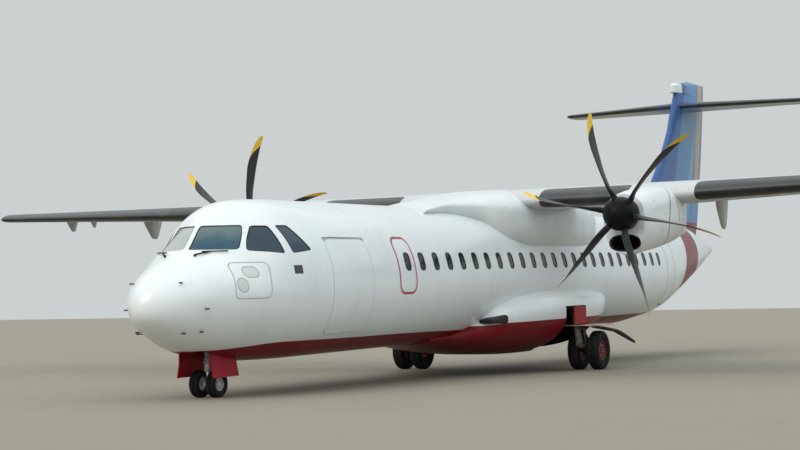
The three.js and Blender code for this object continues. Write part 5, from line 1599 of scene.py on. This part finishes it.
# up, station of the front edge, station of the rear edge, ratio
finTable = np.array(
    [
        (2.7, 20.29, 25.87, 0.05), (3.33, 21.15, 26.16, 0.065), (4.336, 22.43, 26.44, 0.09),
        (5.1, 23.29, 26.66, 0.1), (5.845, 23.93, 26.83, 0.105), (6.16, 24.09, 26.895, 0.107),
        (6.5, 24.31, 26.963, 0.108), (6.9, 24.55, 27.044, 0.11), (6.93, 24.33, 27.05, 0.11),
        (7.11, 24.32, 27.082, 0.105), (7.18, 24.45, 27.092, 0.1), (7.24, 25.05, 27.095, 0.09),
        (7.32, 25.6, 27.1, 0.06),
    ]
)
tailLook = {
    "rudder": (3.2, 7.32, 25.305, 26.329),  # lower and upper end, hinge stations there
    "up": 6.56,
    "root": (24.56, 2.08),  # front edge and chord
    "tip": (25.33, 1.3),
    "tipStart": 3.48,
    "half": 3.655,
    "elevator": (0.43, 3.44, 0.68),
    "lips": (60, 60),
    "rudderLips": (56, 56),
    "trailingEdge": 0.005,  # half thickness
    "centreRear": 25.9,
    "lugRear": 26.08,
    "noseRoom": 0.125,
    "footRoom": 0.03,
    "finRounding": 0.05,
    "finSeat": (-0.6, 0.6),  # stretch of the tailplane that is cut out of the fin
}


# Straight between the table's rows; the last stretch closes in a quarter ellipse.
def finSection(up):
    look = finTable
    top = look[-1, 0]
    rounding = tailLook["finRounding"]
    closing = quarterClose(up, top - rounding, rounding, 0.995)
    front, rear, ratio = (np.interp(up, look[:, 0], look[:, i]) for i in (1, 2, 3))
    edge = tailLook["trailingEdge"] * closing
    return {
        "station": front, "up": up, "chord": rear - front, "ratio": ratio * closing, "edge": edge,
        "camber": 0 * up,
    }


# Tapered from the middle; the tips' front curves back and their thickness runs out.
def tailSection(across):
    look = tailLook
    away = np.abs(across)
    t = np.clip(away / look["tipStart"], 0, 1)
    tip = np.clip((away - look["tipStart"]) / (look["half"] - look["tipStart"]), 0, 1)
    ahead, behind = 0.29 * tip**2.5, 0.05 * tip**2.5
    closing = quarterClose(tip, 0.85, 0.15, 0.998)
    chord = look["root"][1] + (look["tip"][1] - look["root"][1]) * t
    return {
        "station": look["root"][0] + (look["tip"][0] - look["root"][0]) * t + ahead,
        "up": look["up"] + 0 * t,
        "chord": chord - ahead - behind,
        "ratio": (0.115 - 0.015 * t) * (1 - 0.65 * tip**1.6) * closing,
        "edge": look["trailingEdge"] * closing,
        "camber": 0 * t,
    }


# The fin and rudder parted along the leaning hinge line, the tailplane and the elevators parted along
# a level one.
def buildTail():
    look = tailLook
    low, high, lowStation, highStation = look["rudder"]
    rounded = high - look["finRounding"] * (1 - quarterSine(8))
    heights = np.concatenate(
        [np.linspace(finTable[0, 0], 6.9, 56), finTable[8:-1, 0], np.linspace(6.95, 7.25, 16), rounded]
    )
    heights = np.unique(np.round(heights, 5))
    stops = np.array([low, *finTable[1:-1, 0], high])
    hingeStations = lowStation + (highStation - lowStation) * (stops - low) / (high - low)
    rows = finSection(np.minimum(stops, high - look["finRounding"]))
    share = (hingeStations - rows["station"]) / rows["chord"]
    radii = (
        halfThickness(share, rows["ratio"]) * rows["chord"] + look["trailingEdge"] * share
    ) * panelLook["noseShare"]
    hinges = np.stack([hingeStations, 0 * stops, stops], -1)
    cove = hingeRegion(hinges, radii + panelLook["clear"], look["rudderLips"], True, 0.4)
    zone = hingeRegion(hinges, radii, (90, 90), True, 0.4)
    body = loft(skinBody(np.linspace(19.5, 27.1, 60), wingLook["seat"], 96))
    tailSpans = np.concatenate([-outerTail()[::-1], np.linspace(-3.4, 3.4, 28), outerTail()])
    wide = loft(
        surfaceRings(tailSection, np.linspace(*look["finSeat"], 13), points=48, grow=wingLook["seat"])[0]
    )
    fin = surfacePiece("fin_skin", finSection, heights, finPaint, True)
    rudder = surfacePiece("rudder_skin", finSection, heights, finPaint, True)
    for part in (cove, body, wide):
        carve(fin, [part])
    carve(rudder, [zone], "INTERSECT")
    carve(rudder, [loft(skinBody(np.linspace(19.5, 27.16, 60), look["footRoom"], 96))])
    place(fin, "root", "tail_paint", "fin")
    place(rudder, "rudder", "tail_paint", "rudder")
    inner, outer, hingeShare = look["elevator"]
    ends = []
    for across in (inner, outer):
        row = tailSection(np.array(across))
        half = halfThickness(hingeShare, row["ratio"]) * row["chord"] + look["trailingEdge"] * hingeShare
        hinge = (row["station"] + hingeShare * row["chord"], across, look["up"])
        ends.append((hinge, half * panelLook["noseShare"]))
    hinges, radii = [e[0] for e in ends], [e[1] for e in ends]
    elevatorZone = hingeRegion(hinges, radii, (90, 90))
    elevatorCove = hingeRegion(
        hinges, [r + panelLook["clear"] for r in radii], look["lips"], stretch=panelLook["clear"]
    )
    tail = surfacePiece("tailplane_skin", tailSection, tailSpans, tailplanePaint)
    carve(tail, [elevatorCove, mirroredPart(elevatorCove)])
    for rear, half in ((look["lugRear"], inner + 0.002), (look["centreRear"], look["noseRoom"])):
        carve(tail, [airBox((rear, 27.5), (-half, half), (look["up"] - 0.3, look["up"] + 0.3))])
    place(tail, "root", "fuselage_paint", "tailplane")
    elevator = surfacePiece("elevator_left_skin", tailSection, spanStations(inner, outer), tailplanePaint)
    carve(elevator, [elevatorZone], "INTERSECT")
    placeBoth(elevator, "elevator", "fuselage_paint", "elevator")


# Stations across one tailplane tip, closer towards its end by a quarter sine wave.
def outerTail():
    look = tailLook
    return look["tipStart"] + (look["half"] - look["tipStart"]) * quarterSine(14)


print("stage: tail")
buildTail()


# Engines and propellers

nacelleTable = np.array([  # station, top, bottom, half, widest
    (9.43, 3.44, 2.33, 0.4, 2.98), (9.62, 3.49, 2.312, 0.45, 2.98), (10.05, 3.56, 2.36, 0.49, 3.0),
    (10.7, 3.625, 2.425, 0.505, 3.03), (11.25, 3.65, 2.5, 0.5, 3.06), (11.6, 3.6, 2.555, 0.455, 3.07),
    (12.2, 3.56, 2.64, 0.27, 3.12), (12.7, 3.51, 2.72, 0.11, 3.16), (12.96, 3.48, 2.76, 0.025, 3.2)])
engineLook = {
    "out": 4.05,
    "power": 2.3,
    "intake": (2.535, 0.3, 0.15),  # height, half width, half height
    "intakeCut": ((9.3, 1.0), (9.7, 0.92), (10.45, 0.7)),  # station and share of the intake's size
    "lip": (9.437, 1.01, 0.013),
    # the cup's rings, from its floor forwards inside and back outside; the near-black cup is painted
    # shade inside the intake
    "throat": (
        (10.38, 0.01), (10.38, 0.6), (9.9, 0.76), (9.46, 0.93), (9.46, 0.975), (9.9, 0.8), (10.4, 0.66),
        (10.4, 0.01),
    ),
    "cavity": ((9.7, 11.05), 0.4, (2.56, 3.4)),  # stations, half width, heights
    "cavityBevel": 0.16,
    "shaftHole": (9.8, 9.3, 0.096),
    "propStation": 9.183,
    "propHeight": 3.072,
    "blades": 6,
    "phase": {"left": -16.9, "right": 8.0},
    "spinnerRadius": 0.315,
    # nose, widest, rear, wall, taper, ahead of the blades' plane
    "spinner": (0.353, -0.06, -0.217, 0.014, 0.004),
    "hub": 0.19,
    "shank": 0.058,
    "bladeStops": (0.3, 1.9, 0.065, 0.035),  # root, tip's start and reach, rounding of its end
}
# radius, chord, thickness share, angle from the disc plane, sweep towards the front edge, lean
bladeTable = np.array(
    [
        (0.3, 0.116, 0.95, 78, 0.0, 0.0), (0.325, 0.124, 0.9, 78, 0.004, 0.0),
        (0.43, 0.215, 0.42, 79, 0.06, 0.015), (0.52, 0.25, 0.28, 80, 0.105, 0.03),
        (0.85, 0.3, 0.14, 86, 0.14, 0.036), (1.2, 0.3, 0.09, 93, 0.14, 0.022),
        (1.56, 0.234, 0.07, 101.5, 0.092, 0.0), (1.83, 0.157, 0.06, 105.5, 0.022, -0.025),
        (1.965, 0.082, 0.06, 108, -0.035, -0.045),
    ]
)


# A nacelle section: its smoothed columns with the powers and the place across.
def nacelleRow(columns):
    return {
        **columns, "crown": engineLook["power"], "belly": engineLook["power"], "side": engineLook["out"]
    }


# The intake's oval at a station, at a share of its full size.
def intakeRing(station, share, points=64):
    up, half, rise = engineLook["intake"]
    row = nacelleRow(
        {"top": up + rise * share, "bottom": up - rise * share, "half": half * share, "widest": up}
    )
    return toRow(station, *sectionPoint(row, ringAngles(points)))


# Row point of a point given about the propeller's shaft.
def shaftPoint(forward, across, up, side):
    look = engineLook
    sign = 1 if side == "left" else -1
    return toRow(look["propStation"] - forward, sign * look["out"] + across, look["propHeight"] + up)


# Grids of a profile of (radius, along) pairs turned round an axis: along, and the radius times sine
# and cosine.
def turned(profile, sides):
    angle = ringAngles(sides)[:, None]
    radius, along = np.asarray(profile, float).T[:, None]
    return along + 0 * angle, radius * np.sin(angle), radius * np.cos(angle)


# A closed profile of (radius, forward) pairs turned about the shaft.
def turnedAboutShaft(profile, side):
    return closedBand(shaftPoint(*turned(profile, 72), side))


# A point of a blade that stands straight up, turned to its place round the shaft.
def spun(side, index, forward, around, radius):
    turn = 2 * pi * index / engineLook["blades"] + math.radians(engineLook["phase"][side])
    across = radius * np.sin(turn) + around * np.cos(turn)
    return shaftPoint(forward, across, radius * np.cos(turn) - around * np.sin(turn), side)


# Lens sections turned to the blade angle; the table's columns are smoothed along the radius, the tip
# is closed.
def bladeRings(side, index, rings=56, points=28):
    root, tipStart, tipReach, rounding = engineLook["bladeStops"]
    tip = tipStart + tipReach * quarterSine(9)[1:]
    radius = np.concatenate([np.linspace(root, tipStart, rings), tip])
    chord, ratio, angle, sweep, lean = (
        smoothTable(bladeTable[:, 0], bladeTable[:, i])(radius)[:, None] for i in range(1, 6)
    )
    closing = quarterClose(radius, tipStart + tipReach - rounding, rounding, 0.97)[:, None]
    turn = np.radians(angle)
    walk = ringAngles(points)
    x = ((1 + np.cos(walk)) / 2)[None, :]
    sign = np.where(walk <= pi, 1.0, -1.0)[None, :]
    across = (0.5 - x) * chord * closing + sweep
    thick = sign * ratio * chord * closing * np.sqrt(x * (1 - x)) + lean
    forward = across * np.sin(turn) + thick * np.cos(turn)
    around = across * np.cos(turn) - thick * np.sin(turn)
    uv = np.stack([0.5 + sign * x / 2 + 0 * thick, radius[:, None] / 2 + 0 * x], -1)
    return spun(side, index, forward, around, radius[:, None] + 0 * x), uv


# A round bar along a blade's own radius.
def shankBar(side, index, radius, start, end):
    return bar(spun(side, index, 0, 0, start), spun(side, index, 0, 0, end), radius, 28)


# A hollow spinner with blade holes, the hub with its cuffs, and six blades as one piece.
def buildPropeller(side):
    look = engineLook
    nose, widest, rear, wall, taper = look["spinner"]
    radius = look["spinnerRadius"]
    turn = np.linspace(0.002, pi / 2, 22)
    outer = np.stack([radius * np.sin(turn), widest + (nose - widest) * np.cos(turn)], -1)
    inner = np.stack(
        [(radius - wall) * np.sin(turn), widest + (nose - wall - widest) * np.cos(turn)], -1
    )[::-1]
    skirt = [(radius - 0.001, (widest + rear) / 2), (radius - taper, rear), (radius - wall - taper, rear)]
    shell = newObject(
        "spinner_shell_" + side, *turnedAboutShaft([*outer, *skirt, *inner], side), spinnerBlack
    )
    carve(shell, [shankBar(side, i, look["shank"] + 0.014, 0.2, 0.42) for i in range(look["blades"])])
    place(shell, "propeller_" + side, "spinner_paint", "spinner_" + side)
    plate = radius - wall - taper - 0.0006
    hub = turnedAboutShaft(
        [
            (0.002, 0.13), (0.15, 0.13), (look["hub"], 0.09), (look["hub"], -0.15), (plate, rear + 0.022),
            (plate, rear), (0.002, rear),
        ],
        side,
    )
    cuffs = [shankBar(side, i, look["shank"] + 0.004, 0.15, 0.322) for i in range(look["blades"])]
    placeParts("propeller_hub_" + side, [hub, *cuffs], darkMetal, "propeller_" + side, "engine_case")
    grids, maps = zip(*(bladeRings(side, index) for index in range(look["blades"])))
    verts, faces = joined([loft(grid) for grid in grids])
    uv = np.concatenate([loftMap(uv) for uv in maps])
    blades = newObject("propeller_blades_" + side, verts, faces, bladePaint, uv=uv, sharp=50)
    place(blades, "propeller_" + side, "propeller_blade", "propeller_" + side)


# The cowl with the wing, intake, engine room and shaft hole cut out, a rolled intake lip and a
# near-black cup behind it, painted shade inside the intake.
def buildNacelle():
    look = engineLook
    skin = newObject(
        "nacelle_left_skin",
        *loft(bodyOf(nacelleTable, ("top", "bottom", "half", "widest"), 110, nacelleRow)), nacellePaint,
    )
    carve(skin, [insideWing(wingLook["seat"])])
    carve(skin, [loft([intakeRing(*stop) for stop in look["intakeCut"]])])
    stations, half, heights = look["cavity"]
    carve(skin, [airBox(stations, (look["out"] - half, look["out"] + half), heights, look["cavityBevel"])])
    shaft = [toRow(station, look["out"], look["propHeight"]) for station in look["shaftHole"][:2]]
    carve(skin, [bar(*shaft, look["shaftHole"][2], 40)])
    ring = intakeRing(*look["lip"][:2])
    lips = newObject(
        "intake_lip_left", *tube(np.concatenate([ring, ring[:2]]), look["lip"][2], 14), darkMetal
    )
    cup = [intakeRing(*stop) for stop in look["throat"]]
    throat = newObject("intake_throat_left", *loft(cup), hollowBlack)
    placeBoth(skin, "root", "fuselage_paint", "nacelle")
    placeBoth(lips, "root", "engine_case")
    placeBoth(throat, "root", "engine_case")


print("stage: engines")
buildNacelle()
buildPropeller("left")
buildPropeller("right")
for side in ("left", "right"):
    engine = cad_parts["engine_" + side]
    engine.data.materials.clear()
    engine.data.materials.append(darkMetal)


# Landing gear

gearLook = {
    "track": 2.05,
    "noseX": airframe["gearX"] + 10.77,
    "legTop": (12.33, 1.79, 1.29),
    "knee": (11.98, 2.05, 0.56),
    "strutFoot": (12.32, 2.05, 0.452),
    "strutHead": (12.255, 2.05, 0.85),
    "legRadius": 0.068,
    "strutRadius": 0.036,
    "strutStep": 0.45,  # share of the strut that is the thinner rod
    "bracketRadius": 0.022,
    "lever": (0.084, 0.078, 0.04, 0.034),  # radii of the knee boss, axle boss, arm and strut link
    "leverHalf": 0.046,
    "legDoor": ((11.84, 12.44), (2.01, 2.032), (0.955, 1.315)),
    "trunnion": ((12.23, 12.59), (1.66, 1.9), (1.23, 1.3297)),
    "brackets": (1.06, 1.22),
    "bayDoor": ((11.99, 13.01), 0.014, 0.9297),
    "sealArm": ((11.99, 12.055), 0.046, 0.9297),
    # across, drop of the upper face below the bay's roof
    "bayDoorCurve": ((1.64, 0.0), (2.2, 0.0), (2.31, 0.003), (2.4, 0.01)),
    "sealArmCurve": (
        (2.31, 0.003), (2.4, 0.01), (2.54, 0.026), (2.67, 0.051),
        (2.87, 0.098), (3.05, 0.198), (3.15, 0.27), (3.222, 0.324),
    ),
}
# radius, half width, rim radius, wheel spacing, axle radius, how far the hub's disc stands out
tyreLook = {
    "main": (0.4, 0.122, 0.205, 0.43, 0.046, 0.092),
    "nose": (0.213, 0.084, 0.112, 0.312, 0.03, 0.046),
    "grooves": (-0.5, -0.17, 0.17, 0.5),  # share of the tread's half width
    "grooveDeep": 0.008,
    "grooveHalf": 0.005,
    "nuts": 10,
}


# A closed profile of (radius, across) pairs turned about a level axle through the point.
def turnedAboutAxle(profile, x, y, z, sides):
    across, ahead, up = turned(profile, sides)
    return closedBand(np.stack([x + ahead, y + across, z + up], -1))


# Bead seat, a side that bulges in a quarter ellipse, and a nearly flat tread with round grooves.
def tyreProfile(kind):
    radius, half, rim, *_ = tyreLook[kind]
    bulge, shoulder = rim + (radius - rim) * 0.55, half * 0.6
    turn = np.linspace(0, pi / 2, 14)
    side = np.stack(
        [bulge + (radius - 0.004 - bulge) * np.sin(turn), -shoulder - (half - shoulder) * np.cos(turn)], -1
    )
    across = np.linspace(-shoulder, shoulder, 61)[1:-1]
    crown = radius - 0.004 * (across / shoulder) ** 2
    dents = sum(
        np.clip(1 - np.abs(across - g * shoulder) / tyreLook["grooveHalf"], 0, 1)
        for g in tyreLook["grooves"]
    )
    tread = np.stack([crown - tyreLook["grooveDeep"] * np.minimum(dents * 1.6, 1), across], -1)
    bead = np.array([(rim, -half * 0.6), (rim + 0.004, -half * 0.74), (rim + 0.016, -half * 0.8)])
    left = np.concatenate([bead, side])
    return np.concatenate([left, tread, (left * (1, -1))[::-1]])


# A rim with a rolled flange and a dished disc; outer says which way the dish faces.
def wheelProfile(kind, outer):
    _, half, rim, *_, dish = tyreLook[kind]
    edge = half * 0.72
    seat = rim - 0.0003
    points = [
        (0.002, -0.034), (rim * 0.55, -0.034), (rim * 0.8, -0.04), (rim * 0.9, -edge + 0.008),
        (seat - 0.004, -edge), (seat, -edge + 0.004), (seat, edge - 0.004), (seat - 0.004, edge),
        (rim * 0.93, edge - 0.002), (rim * 0.88, edge - 0.014), (rim * 0.8, edge * 0.45),
        (rim * 0.66, dish - 0.036), (rim * 0.44, dish - 0.034), (rim * 0.36, dish - 0.012),
        (rim * 0.3, dish), (0.002, dish),
    ]
    return [(r, a * outer) for r, a in points]


# Nuts in a ring on the disc.
def wheelNuts(kind, x, y, z, outer):
    _, _, rim, *_, dish = tyreLook[kind]
    parts = []
    for k in range(tyreLook["nuts"]):
        turn = 2 * pi * k / tyreLook["nuts"]
        centre = np.array((x + rim * 0.55 * math.sin(turn), y, z + rim * 0.55 * math.cos(turn)))
        foot, head = (centre + (0, outer * (dish - depth), 0) for depth in (0.04, 0.02))
        parts.append(bar(foot, head, rim * 0.045, 6))
    return parts


# A pair of wheels on one axle; the hubs' node has the body's name.
def buildWheels(kind, x, y, body, tyreNodes, finish):
    radius, _, _, spacing, axle, _ = tyreLook[kind]
    hubs = [bar((x, y - spacing / 2, radius), (x, y + spacing / 2, radius), axle, 28)]
    nuts = []
    for outer, tyreNode in zip((1, -1), tyreNodes):
        middle = y + outer * spacing / 2
        hubs.append(turnedAboutAxle(wheelProfile(kind, outer), x, middle, radius, 72))
        nuts += wheelNuts(kind, x, middle, radius, outer)
        tyre = newObject(
            tyreNode + "_rubber", *turnedAboutAxle(tyreProfile(kind), x, middle, radius, 120), tyreRubber,
            sharp=50,
        )
        place(tyre, body, "tyre", tyreNode)
    place(newObject(body + "_hubs", *joined(hubs), finish, sharp=30), body, "wheel_hub", body)
    placeParts(body + "_nuts", nuts, brightMetal, body, "wheel_hub")


# A short boss across the aircraft, about a row point.
def acrossLever(centre, radius):
    half = (0, gearLook["leverHalf"], 0)
    return bar(centre - half, centre + half, radius, 40, bevel=0.006)


# Point of the main leg's axis at a height above the airframe's own level, as station, across and up.
def onLeg(height):
    top, knee = np.array(gearLook["legTop"]), np.array(gearLook["knee"])
    return top + (knee - top) * (top[2] - height) / (top[2] - knee[2])


# A curved plate: the drop curve smoothed across, given its thickness and carried between two
# stations.
def bayDoorPart(name):
    (front, rear), thick, roofHeight = gearLook[name]
    curve = np.array(gearLook[name + "Curve"])
    reach = np.concatenate([[0], np.cumsum(np.linalg.norm(np.diff(curve, axis=0), axis=1))])
    t = np.linspace(0, reach[-1], 44)
    across, drop = smoothTable(reach, curve[:, 0])(t), smoothTable(reach, curve[:, 1])(t)
    top = roofHeight - drop
    across, up = np.append(across, across[::-1]), np.append(top, (top - thick)[::-1])
    return loft([toRow(s, across, up) for s in (front, (front + rear) / 2, rear)])


# Trailing leg: post, lever and strut, with its doors, then the wheels of both sides.
def buildMainGear():
    look = gearLook
    kneeRadius, axleRadius, arm, link = look["lever"]
    axle = np.array((airframe["gearX"], look["track"], tyreLook["main"][0]))
    top, knee, foot, head = (toRow(*look[name]) for name in ("legTop", "knee", "strutFoot", "strutHead"))
    parts = [
        bar(top, knee, look["legRadius"], 40),
        acrossLever(knee, kneeRadius),
        acrossLever(axle, axleRadius),
        bar(knee, axle, arm, 28),
        bar(head, toRow(*onLeg(look["strutHead"][2])), link, 28),
        airBox(*look["trunnion"], bevel=0.012),
    ]
    for height in look["brackets"]:
        point = onLeg(height)
        doorFace = toRow(point[0], look["legDoor"][1][0] - 0.0003, height)
        parts.append(bar(toRow(*point), doorFace, look["bracketRadius"], 20))
    middle = foot + (head - foot) * look["strutStep"]
    radius = look["strutRadius"]
    strut = [bar(foot, middle, radius * 0.72, 28), bar(middle, head, radius, 28, bevel=0.004)]
    door = newObject("main_leg_door_left_panel", *airBox(*look["legDoor"], bevel=0.003), redPaint)
    bayDoor = newObject("main_bay_door_left_panel", *bayDoorPart("bayDoor"), bayPink)
    # The seal arm is black rubber and also stands for the door's outboard edge seen in shade.
    sealArm = newObject("main_bay_door_left_seal_arm", *bayDoorPart("sealArm"), sealRubber)
    carve(bayDoor, [bar(top, knee, look["legRadius"] + 0.001, 40)])
    casting = newObject("main_leg_left_casting", *joined(parts), gearDirty)
    strutPair = newObject("main_leg_left_strut", *joined(strut), gearDirty)
    placeBoth(casting, "root", "gear_paint", "main_leg")
    placeBoth(strutPair, "root", "gear_paint")
    placeBoth(door, "root", "belly_paint", "main_leg_door")
    placeBoth(bayDoor, "root", "belly_paint", "main_bay_door")
    placeBoth(sealArm, "root", "belly_paint")
    for side, sign in (("left", 1), ("right", -1)):
        tyres = [f"main_tyre_{'outer' if sign * outer > 0 else 'inner'}_{side}" for outer in (1, -1)]
        buildWheels("main", airframe["gearX"], sign * look["track"], "main_wheels_" + side, tyres, hubRed)


noseGearLook = {
    "leg": (0.505, 1.15, 0.062),  # lower and upper end above the ground, radius
    "brace": (0.76, 2.01, 1.29, 0.03),  # lower end, station and height of the upper end, radius
    "lug": ((1.96, 2.05), (-0.13, 0.13), (1.24, 1.3297)),
    "piston": (0.04, 0.63),  # radius, upper end
    "collar": (0.4, 0.49, 0.058),  # lower and upper end, radius
    "link": ((0.3, 0.09), (0.44, 0.04), (0.24, 0.02), 0.02),  # height and distance behind of its three ends
    "tow": (0.096, 0.034, 0.186, 0.24),  # reach ahead, half width, lower and upper face
    "housing": (0.058, 0.05),  # half width, radius
    # front, rear, thickness, lower edge, bend, upper edge, distance across, splay below the bend
    "door": (1.36, 2.05, 0.018, 0.545, 0.765, 0.95, 0.2997, 0.048),
}


# Leg and brace, the steered piston with its scissor link and axle, the wheels and the two doors.
def buildNoseGear():
    look = noseGearLook
    x, wheel = gearLook["noseX"], tyreLook["nose"][0]

    def under(height, behind=0.0):
        return np.array((x - behind, 0.0, height))

    low, high, radius = look["leg"]
    braceLow, braceStation, braceHigh, braceRadius = look["brace"]
    leg = [
        bar(under(low), under(high), radius, 40, bevel=0.006),
        bar(under(low + 0.02), under(low + 0.06), radius + 0.012, 40, bevel=0.006),
        bar(under(braceLow), toRow(braceStation, 0, braceHigh), braceRadius, 28),
        airBox(*look["lug"], bevel=0.01),
    ]
    placeParts("nose_leg_casting", leg, gearEnamel, "root", "gear_paint", "nose_leg")
    pistonRadius, pistonTop = look["piston"]
    place(
        newObject("nose_piston", *bar(under(wheel), under(pistonTop), pistonRadius, 36), brightMetal),
        "nose_steering",
        "gear_paint",
    )
    apex, top, foot, linkRadius = look["link"]
    collarLow, collarHigh, collarRadius = look["collar"]
    reach, half, towLow, towHigh = look["tow"]
    housingHalf, housingRadius = look["housing"]
    across, up = easedRing((-half, half), (towLow, towHigh), 0.01)
    fork = [bar(under(collarLow), under(collarHigh), collarRadius, 40, bevel=0.005),
            bar(under(*apex), under(*top), linkRadius, 20), bar(under(*apex), under(*foot), linkRadius, 20),
            loft([np.stack([0 * across + end, across, up], -1) for end in (x, x + reach)]),
            bar((x, -housingHalf, wheel), (x, housingHalf, wheel), housingRadius, 36, bevel=0.005)]
    placeParts("nose_fork_casting", fork, gearEnamel, "nose_steering", "gear_paint", "nose_fork")
    buildWheels("nose", x, 0.0, "nose_wheels", ("nose_tyre_left", "nose_tyre_right"), hubGrey)
    front, rear, thick, doorLow, bend, doorHigh, outer, splay = look["door"]
    ring = [
        (outer, doorHigh), (outer, bend), (outer + splay, doorLow), (outer - thick + splay, doorLow),
        (outer - thick, bend), (outer - thick, doorHigh),
    ]
    across, up = np.array(ring).T
    door = newObject("nose_door_left_panel", *loft([toRow(s, across, up) for s in (front, rear)]), redPaint)
    placeBoth(door, "root", "belly_paint", "nose_door")


print("stage: gear")
buildMainGear()
buildNoseGear()


# Floor, light and camera

cameraLook = {
    "place": (33.3352, 14.943, 1.353),
    "yaw": 28.1656,  # degrees from -X towards -Y
    "pitch": 2.8269,
    "roll": -0.9902,
    "lens": 74.893,
    "sensor": 36.0,
}
lightLook = {
    "sky": (0.6, 0.63, 0.64),
    "skyStrength": 1.0,
    "floor": ((0.262, 0.236, 0.185, 1), (0.3, 0.272, 0.218, 1)),
    "floorReach": 260.0,
    # name, strength, colour, angle across, turn (each in degrees)
    "suns": (("hazeSun", 1.35, (1.0, 0.95, 0.87), 40.0, (54.0, 0.0, 76.0)),
             ("brightTop", 0.9, (0.9, 0.96, 1.0), 120.0, (6.0, 0.0, 0.0)),
             ("portSky", 0.65, (0.74, 0.93, 1.0), 120.0, (-66.0, 0.0, 0.0))),
}


# Two pale tones in wide clouds.
def floorMaterial():
    material, w, shader, place = newMaterial("paleFloor")
    colour = w.mix(w.noise(place, 0.35, 5.0), *lightLook["floor"])
    feedShader(w, shader, colour, w.timesPlus(w.noise(place, 3.0, 4.0), 0.2, 0.75))
    return material


# A wide floor, an even sky and three soft suns, named for where their light comes from.
def buildStage():
    reach = lightLook["floorReach"]
    corners = [(-reach, -reach, 0), (reach, -reach, 0), (reach, reach, 0), (-reach, reach, 0)]
    floor = newObject("floor", corners, [(0, 1, 2, 3)], floorMaterial(), sharp=0)
    world = bpy.data.worlds.new("softSky")
    bpy.context.scene.world = world
    world.use_nodes = True
    background = world.node_tree.nodes["Background"]
    background.inputs["Color"].default_value = (*lightLook["sky"], 1)
    background.inputs["Strength"].default_value = lightLook["skyStrength"]
    for name, strength, colour, angle, turn in lightLook["suns"]:
        sun = bpy.data.lights.new(name, "SUN")
        sun.energy, sun.angle, sun.color = strength, math.radians(angle), colour
        lamp = bpy.data.objects.new(name, sun)
        lamp.rotation_euler = [math.radians(a) for a in turn]
        bpy.context.scene.collection.objects.link(lamp)
    bpy.context.scene.view_settings.view_transform = "Standard"


# Forward from yaw and pitch; right and up square to it, then both turned by the roll.
def buildCamera():
    look = cameraLook
    yaw, pitch, roll = (math.radians(look[name]) for name in ("yaw", "pitch", "roll"))
    level = -math.cos(pitch)
    forward = np.array((level * math.cos(yaw), level * math.sin(yaw), math.sin(pitch)))
    right = np.cross(forward, (0, 0, 1))
    right /= np.linalg.norm(right)
    up = np.cross(right, forward)
    right, up = math.cos(roll) * right + math.sin(roll) * up, -math.sin(roll) * right + math.cos(roll) * up
    data = bpy.data.cameras.new("photoCamera")
    data.lens, data.sensor_width = look["lens"], look["sensor"]
    data.clip_start, data.clip_end = 0.5, 900.0
    camera = bpy.data.objects.new("photoCamera", data)
    camera.matrix_world = Matrix(
        [*np.stack([right, up, -forward, look["place"]], -1).tolist(), (0, 0, 0, 1)]
    )
    bpy.context.scene.collection.objects.link(camera)
    bpy.context.scene.camera = camera


print("stage: floor, light and camera")
buildStage()
buildCamera()
